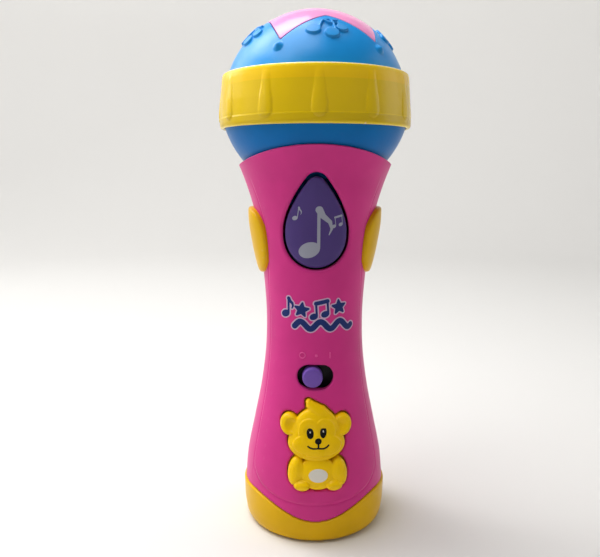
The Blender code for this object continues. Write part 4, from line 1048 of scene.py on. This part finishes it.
def star_lens():
    """The clear star, with a skirt and a flange under the dome's edge."""
    azimuth = np.linspace(0, 360, 900, endpoint=False)
    end = star_edge(azimuth, -0.05)
    share = np.concatenate([np.linspace(0, 0.96, 60), np.linspace(0.965, 1, 10)])[:, None]
    down = end * share
    edge = (end - down) * HEAD_ARC * SLANT
    radius = HEAD_RADIUS - 0.02 - quarter(edge, 0.5)
    skirt = np.stack([end, star_edge(azimuth, 2.4)])
    points = np.vstack([on_head(radius, azimuth, down), on_head(HEAD_RADIUS - 2.2, azimuth, skirt)])
    return ring_mesh("star_lens_look", points, STAR, 50)


def lower_dome():
    """The bowl under the band, down into the neck."""
    low, high = (math.acos((z - BOWL_HEIGHT) / BOWL_RADIUS) for z in (150.0, 173.4))
    arc = np.linspace(low, high, 60)
    profile = [(0, 139.2), (14.6, 139.2), (15.0, 139.6), (15.0, 141.3), (14.6, 141.7), (12.0, 141.7),
               (12.0, 150.0)]
    profile += [(BOWL_RADIUS * math.sin(a), BOWL_HEIGHT + BOWL_RADIUS * math.cos(a)) for a in arc]
    profile += [(37.9, 173.5), (36.2, 173.5)]
    # The bowl gets the darker copy of the blue, which is painted shade under the band
    return turned("lower_dome_look", profile, SHADED_BLUE, 240)


def band_ribs(azimuth, height):
    """How far the ribs stand out of the band: they start thin at its top and end in a round foot."""
    a = np.radians(from_nearest(azimuth, FIRST_RIB, RIB_STEP)) * BAND_RADIUS
    width = 1.6 + 1.4 * (1 - ease(175.5, 189, height))
    foot = np.hypot(a, height - RIB_FOOT) - RIB_FOOT_RADIUS
    field = np.where(height < RIB_FOOT, foot, np.abs(a) - width)
    rise = 0.64 - 0.40 * ease(176, 188, height)
    return puff(field, 2.6, 1.0) * rise * (1 - ease(187.4, 190.2, height))


def light_band():
    """The clear band: a round top edge, a foot turned in under it and a fine step near its foot."""
    outline = [(37.75, 170.15), (38.2, 170.02), (38.6, 170.0), (39.05, 170.2), (39.35, 170.75),
               (39.48, 171.6), (39.46, 173.6), (39.28, 173.9), (39.32, 174.6), (39.1, 180.0),
               (38.7, 185.0), (38.45, 188.6), (38.25, 190.2), (38.0, 191.0), (37.4, 191.35),
               (36.7, 191.35), (36.3, 191.1), (36.75, 188.9), (37.25, 186.4), (36.9, 186.2),
               (35.4, 186.2), (35.4, 173.9), (38.5, 173.9)]
    dense = []
    for (r, z), (r2, z2) in zip(outline, outline[1:] + outline[:1]):
        outside = r > 38.2 or r2 > 38.2
        count = max(1, round(math.hypot(r2 - r, z2 - z) / (0.3 if outside else 1.2)))
        dense += [(r + (r2 - r) * i / count, z + (z2 - z) * i / count) for i in range(count)]
    profile = np.array(dense)
    azimuth = np.linspace(0, 360, 1080, endpoint=False)
    edge = (profile[:, 1] > 170.4) & (profile[:, 1] < 190.4)
    outside = (edge & (profile[:, 0] > np.where(profile[:, 1] < 175, 38.8, 38.1)))[:, None]
    radius, height = profile[:, :1], profile[:, 1:]
    radius = radius + np.where(outside, band_ribs(azimuth, height), 0)
    return ring_mesh("light_band_look", on_round(radius, azimuth, height), BAND, 50, closed=True)


# ---- stage

def stage():
    """A pale floor that curves up into a round wall."""
    floor_paint, tree, shader = new_material("stage_white")
    feed(tree, shader, {"Base Color": (0.80, 0.79, 0.77, 1), "Roughness": 0.8})
    wall, rise, bend = 1400, 1300, 500
    profile = [(0.1, 0), (300, 0), (wall - bend, 0)]
    profile += [(wall - bend + bend * math.sin(a), bend - bend * math.cos(a))
                for a in np.linspace(0.05, math.pi / 2, 16)]
    profile.append((wall, rise))
    turned("studio_sweep", profile, floor_paint, 96, sharp=180)


def area_light(name, place, target, size, power):
    """A rectangular lamp that looks at a target; places and sizes are in metres."""
    data = bpy.data.lights.new(name, "AREA")
    data.shape = "RECTANGLE"
    data.size, data.size_y = size
    data.energy = power
    light = add_object(name, data)
    light.location = place
    light.rotation_euler = (Vector(target) - Vector(place)).to_track_quat("-Z", "Y").to_euler()


def studio():
    area_light("key", (-0.62, 0.30, 0.62), (0, 0, 0.12), (0.6, 0.6), 2.5)
    area_light("left", (-0.75, -0.22, 0.34), (0, 0, 0.1), (0.5, 0.8), 0.9)
    area_light("overhead", (-0.13, -0.02, 0.50), (0, 0, 0.2), (0.40, 0.30), 1.9)
    area_light("right", (0.8, 0.1, 0.4), (0, 0, 0.1), (0.4, 0.8), 0.8)
    area_light("backdrop", (-0.55, 0.40, 1.28), (-0.35, 1.35, 0.65), (2.0, 0.6), 16)
    world = bpy.data.worlds.new("studio_world")
    world.use_nodes = True
    sky = world.node_tree.nodes["Background"]
    sky.inputs["Color"].default_value = (1, 0.995, 0.985, 1)
    sky.inputs["Strength"].default_value = 0.08
    bpy.context.scene.world = world
    bpy.context.scene.view_settings.view_transform = "Standard"


def camera():
    data = bpy.data.cameras.new("camera")
    data.sensor_width = 36.0
    data.lens = 38.16
    data.clip_start = 0.01
    view = add_object("camera", data)
    view.location = (-0.0063, -0.2728, 0.1532)
    view.rotation_euler = (math.pi / 2 - 0.168, 0, 0)
    bpy.context.scene.camera = view


def place(piece, body, *nodes, slot=None):
    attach(piece, body)
    if nodes:
        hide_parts(*nodes)


def paint_nodes():
    """Gives every CAD node the material of its slot."""
    for part in frame["record"]["subparts"]:
        node = frame["nodes"][part["node"]]
        for slot in node.material_slots:
            slot.material = SLOTS[part["material_slot"]]


def build():
    camera()
    stage()
    studio()
    paint_nodes()
    place(battery_door(), "battery_cover", "battery_door", slot="handle_pink")
    place(screw("battery_door_screw_look", (0, 19.8, DOOR_SCREW), (0, 14.2, DOOR_SCREW)), "battery_cover",
          "battery_door_screw", slot="steel")
    for level, (x, z) in zip(("low", "middle", "top"), SCREWS):
        for sign, side in ((-1, "left"), (1, "right")):
            node = f"casing_screw_{level}_{side}"
            look = screw(node + "_look", (sign * x, SCREW_HEAD, z), (sign * x, SCREW_TIP, z))
            place(look, "case", node, slot="steel")
    for y, side in ((-20.0, "front"), (22.5, "rear")):
        node = f"base_screw_{side}"
        place(screw(node + "_look", (0, y, 0.1), (0, y, 8.5)), "case", node, slot="steel")
    rubber_dome("melody_rubber_dome", 0, 130)
    rubber_dome("animal_rubber_dome", 0.8, 40)
    place(front_shell(), "case", "front_shell", slot="handle_pink")
    place(shell_marks(), "case", slot="handle_pink")
    place(shell_prints(), "case")
    place(rear_shell(), "case", "rear_shell", slot="handle_pink")
    place(base_cap(), "case", "base_cap", slot="trim_yellow")
    for side, sign in (("left", -1), ("right", 1)):
        place(side_pad(side + "_pad_look", sign), "case", side + "_side_pad", slot="trim_yellow")
    place(animal_button(), "animal_button", "animal_button", slot="trim_yellow")
    place(melody_button(), "melody_button", "melody_button", slot="button_purple")
    place(power_knob(), "power_slider", "power_knob", slot="knob_violet")
    place(upper_dome(), "case", "upper_dome", slot="dome_blue")
    place(star_lens(), "case", "star_lens", slot="star_clear_pink")
    place(lower_dome(), "case", "lower_dome", slot="dome_blue")
    place(light_band(), "case", "light_band", slot="band_clear_yellow")


build()
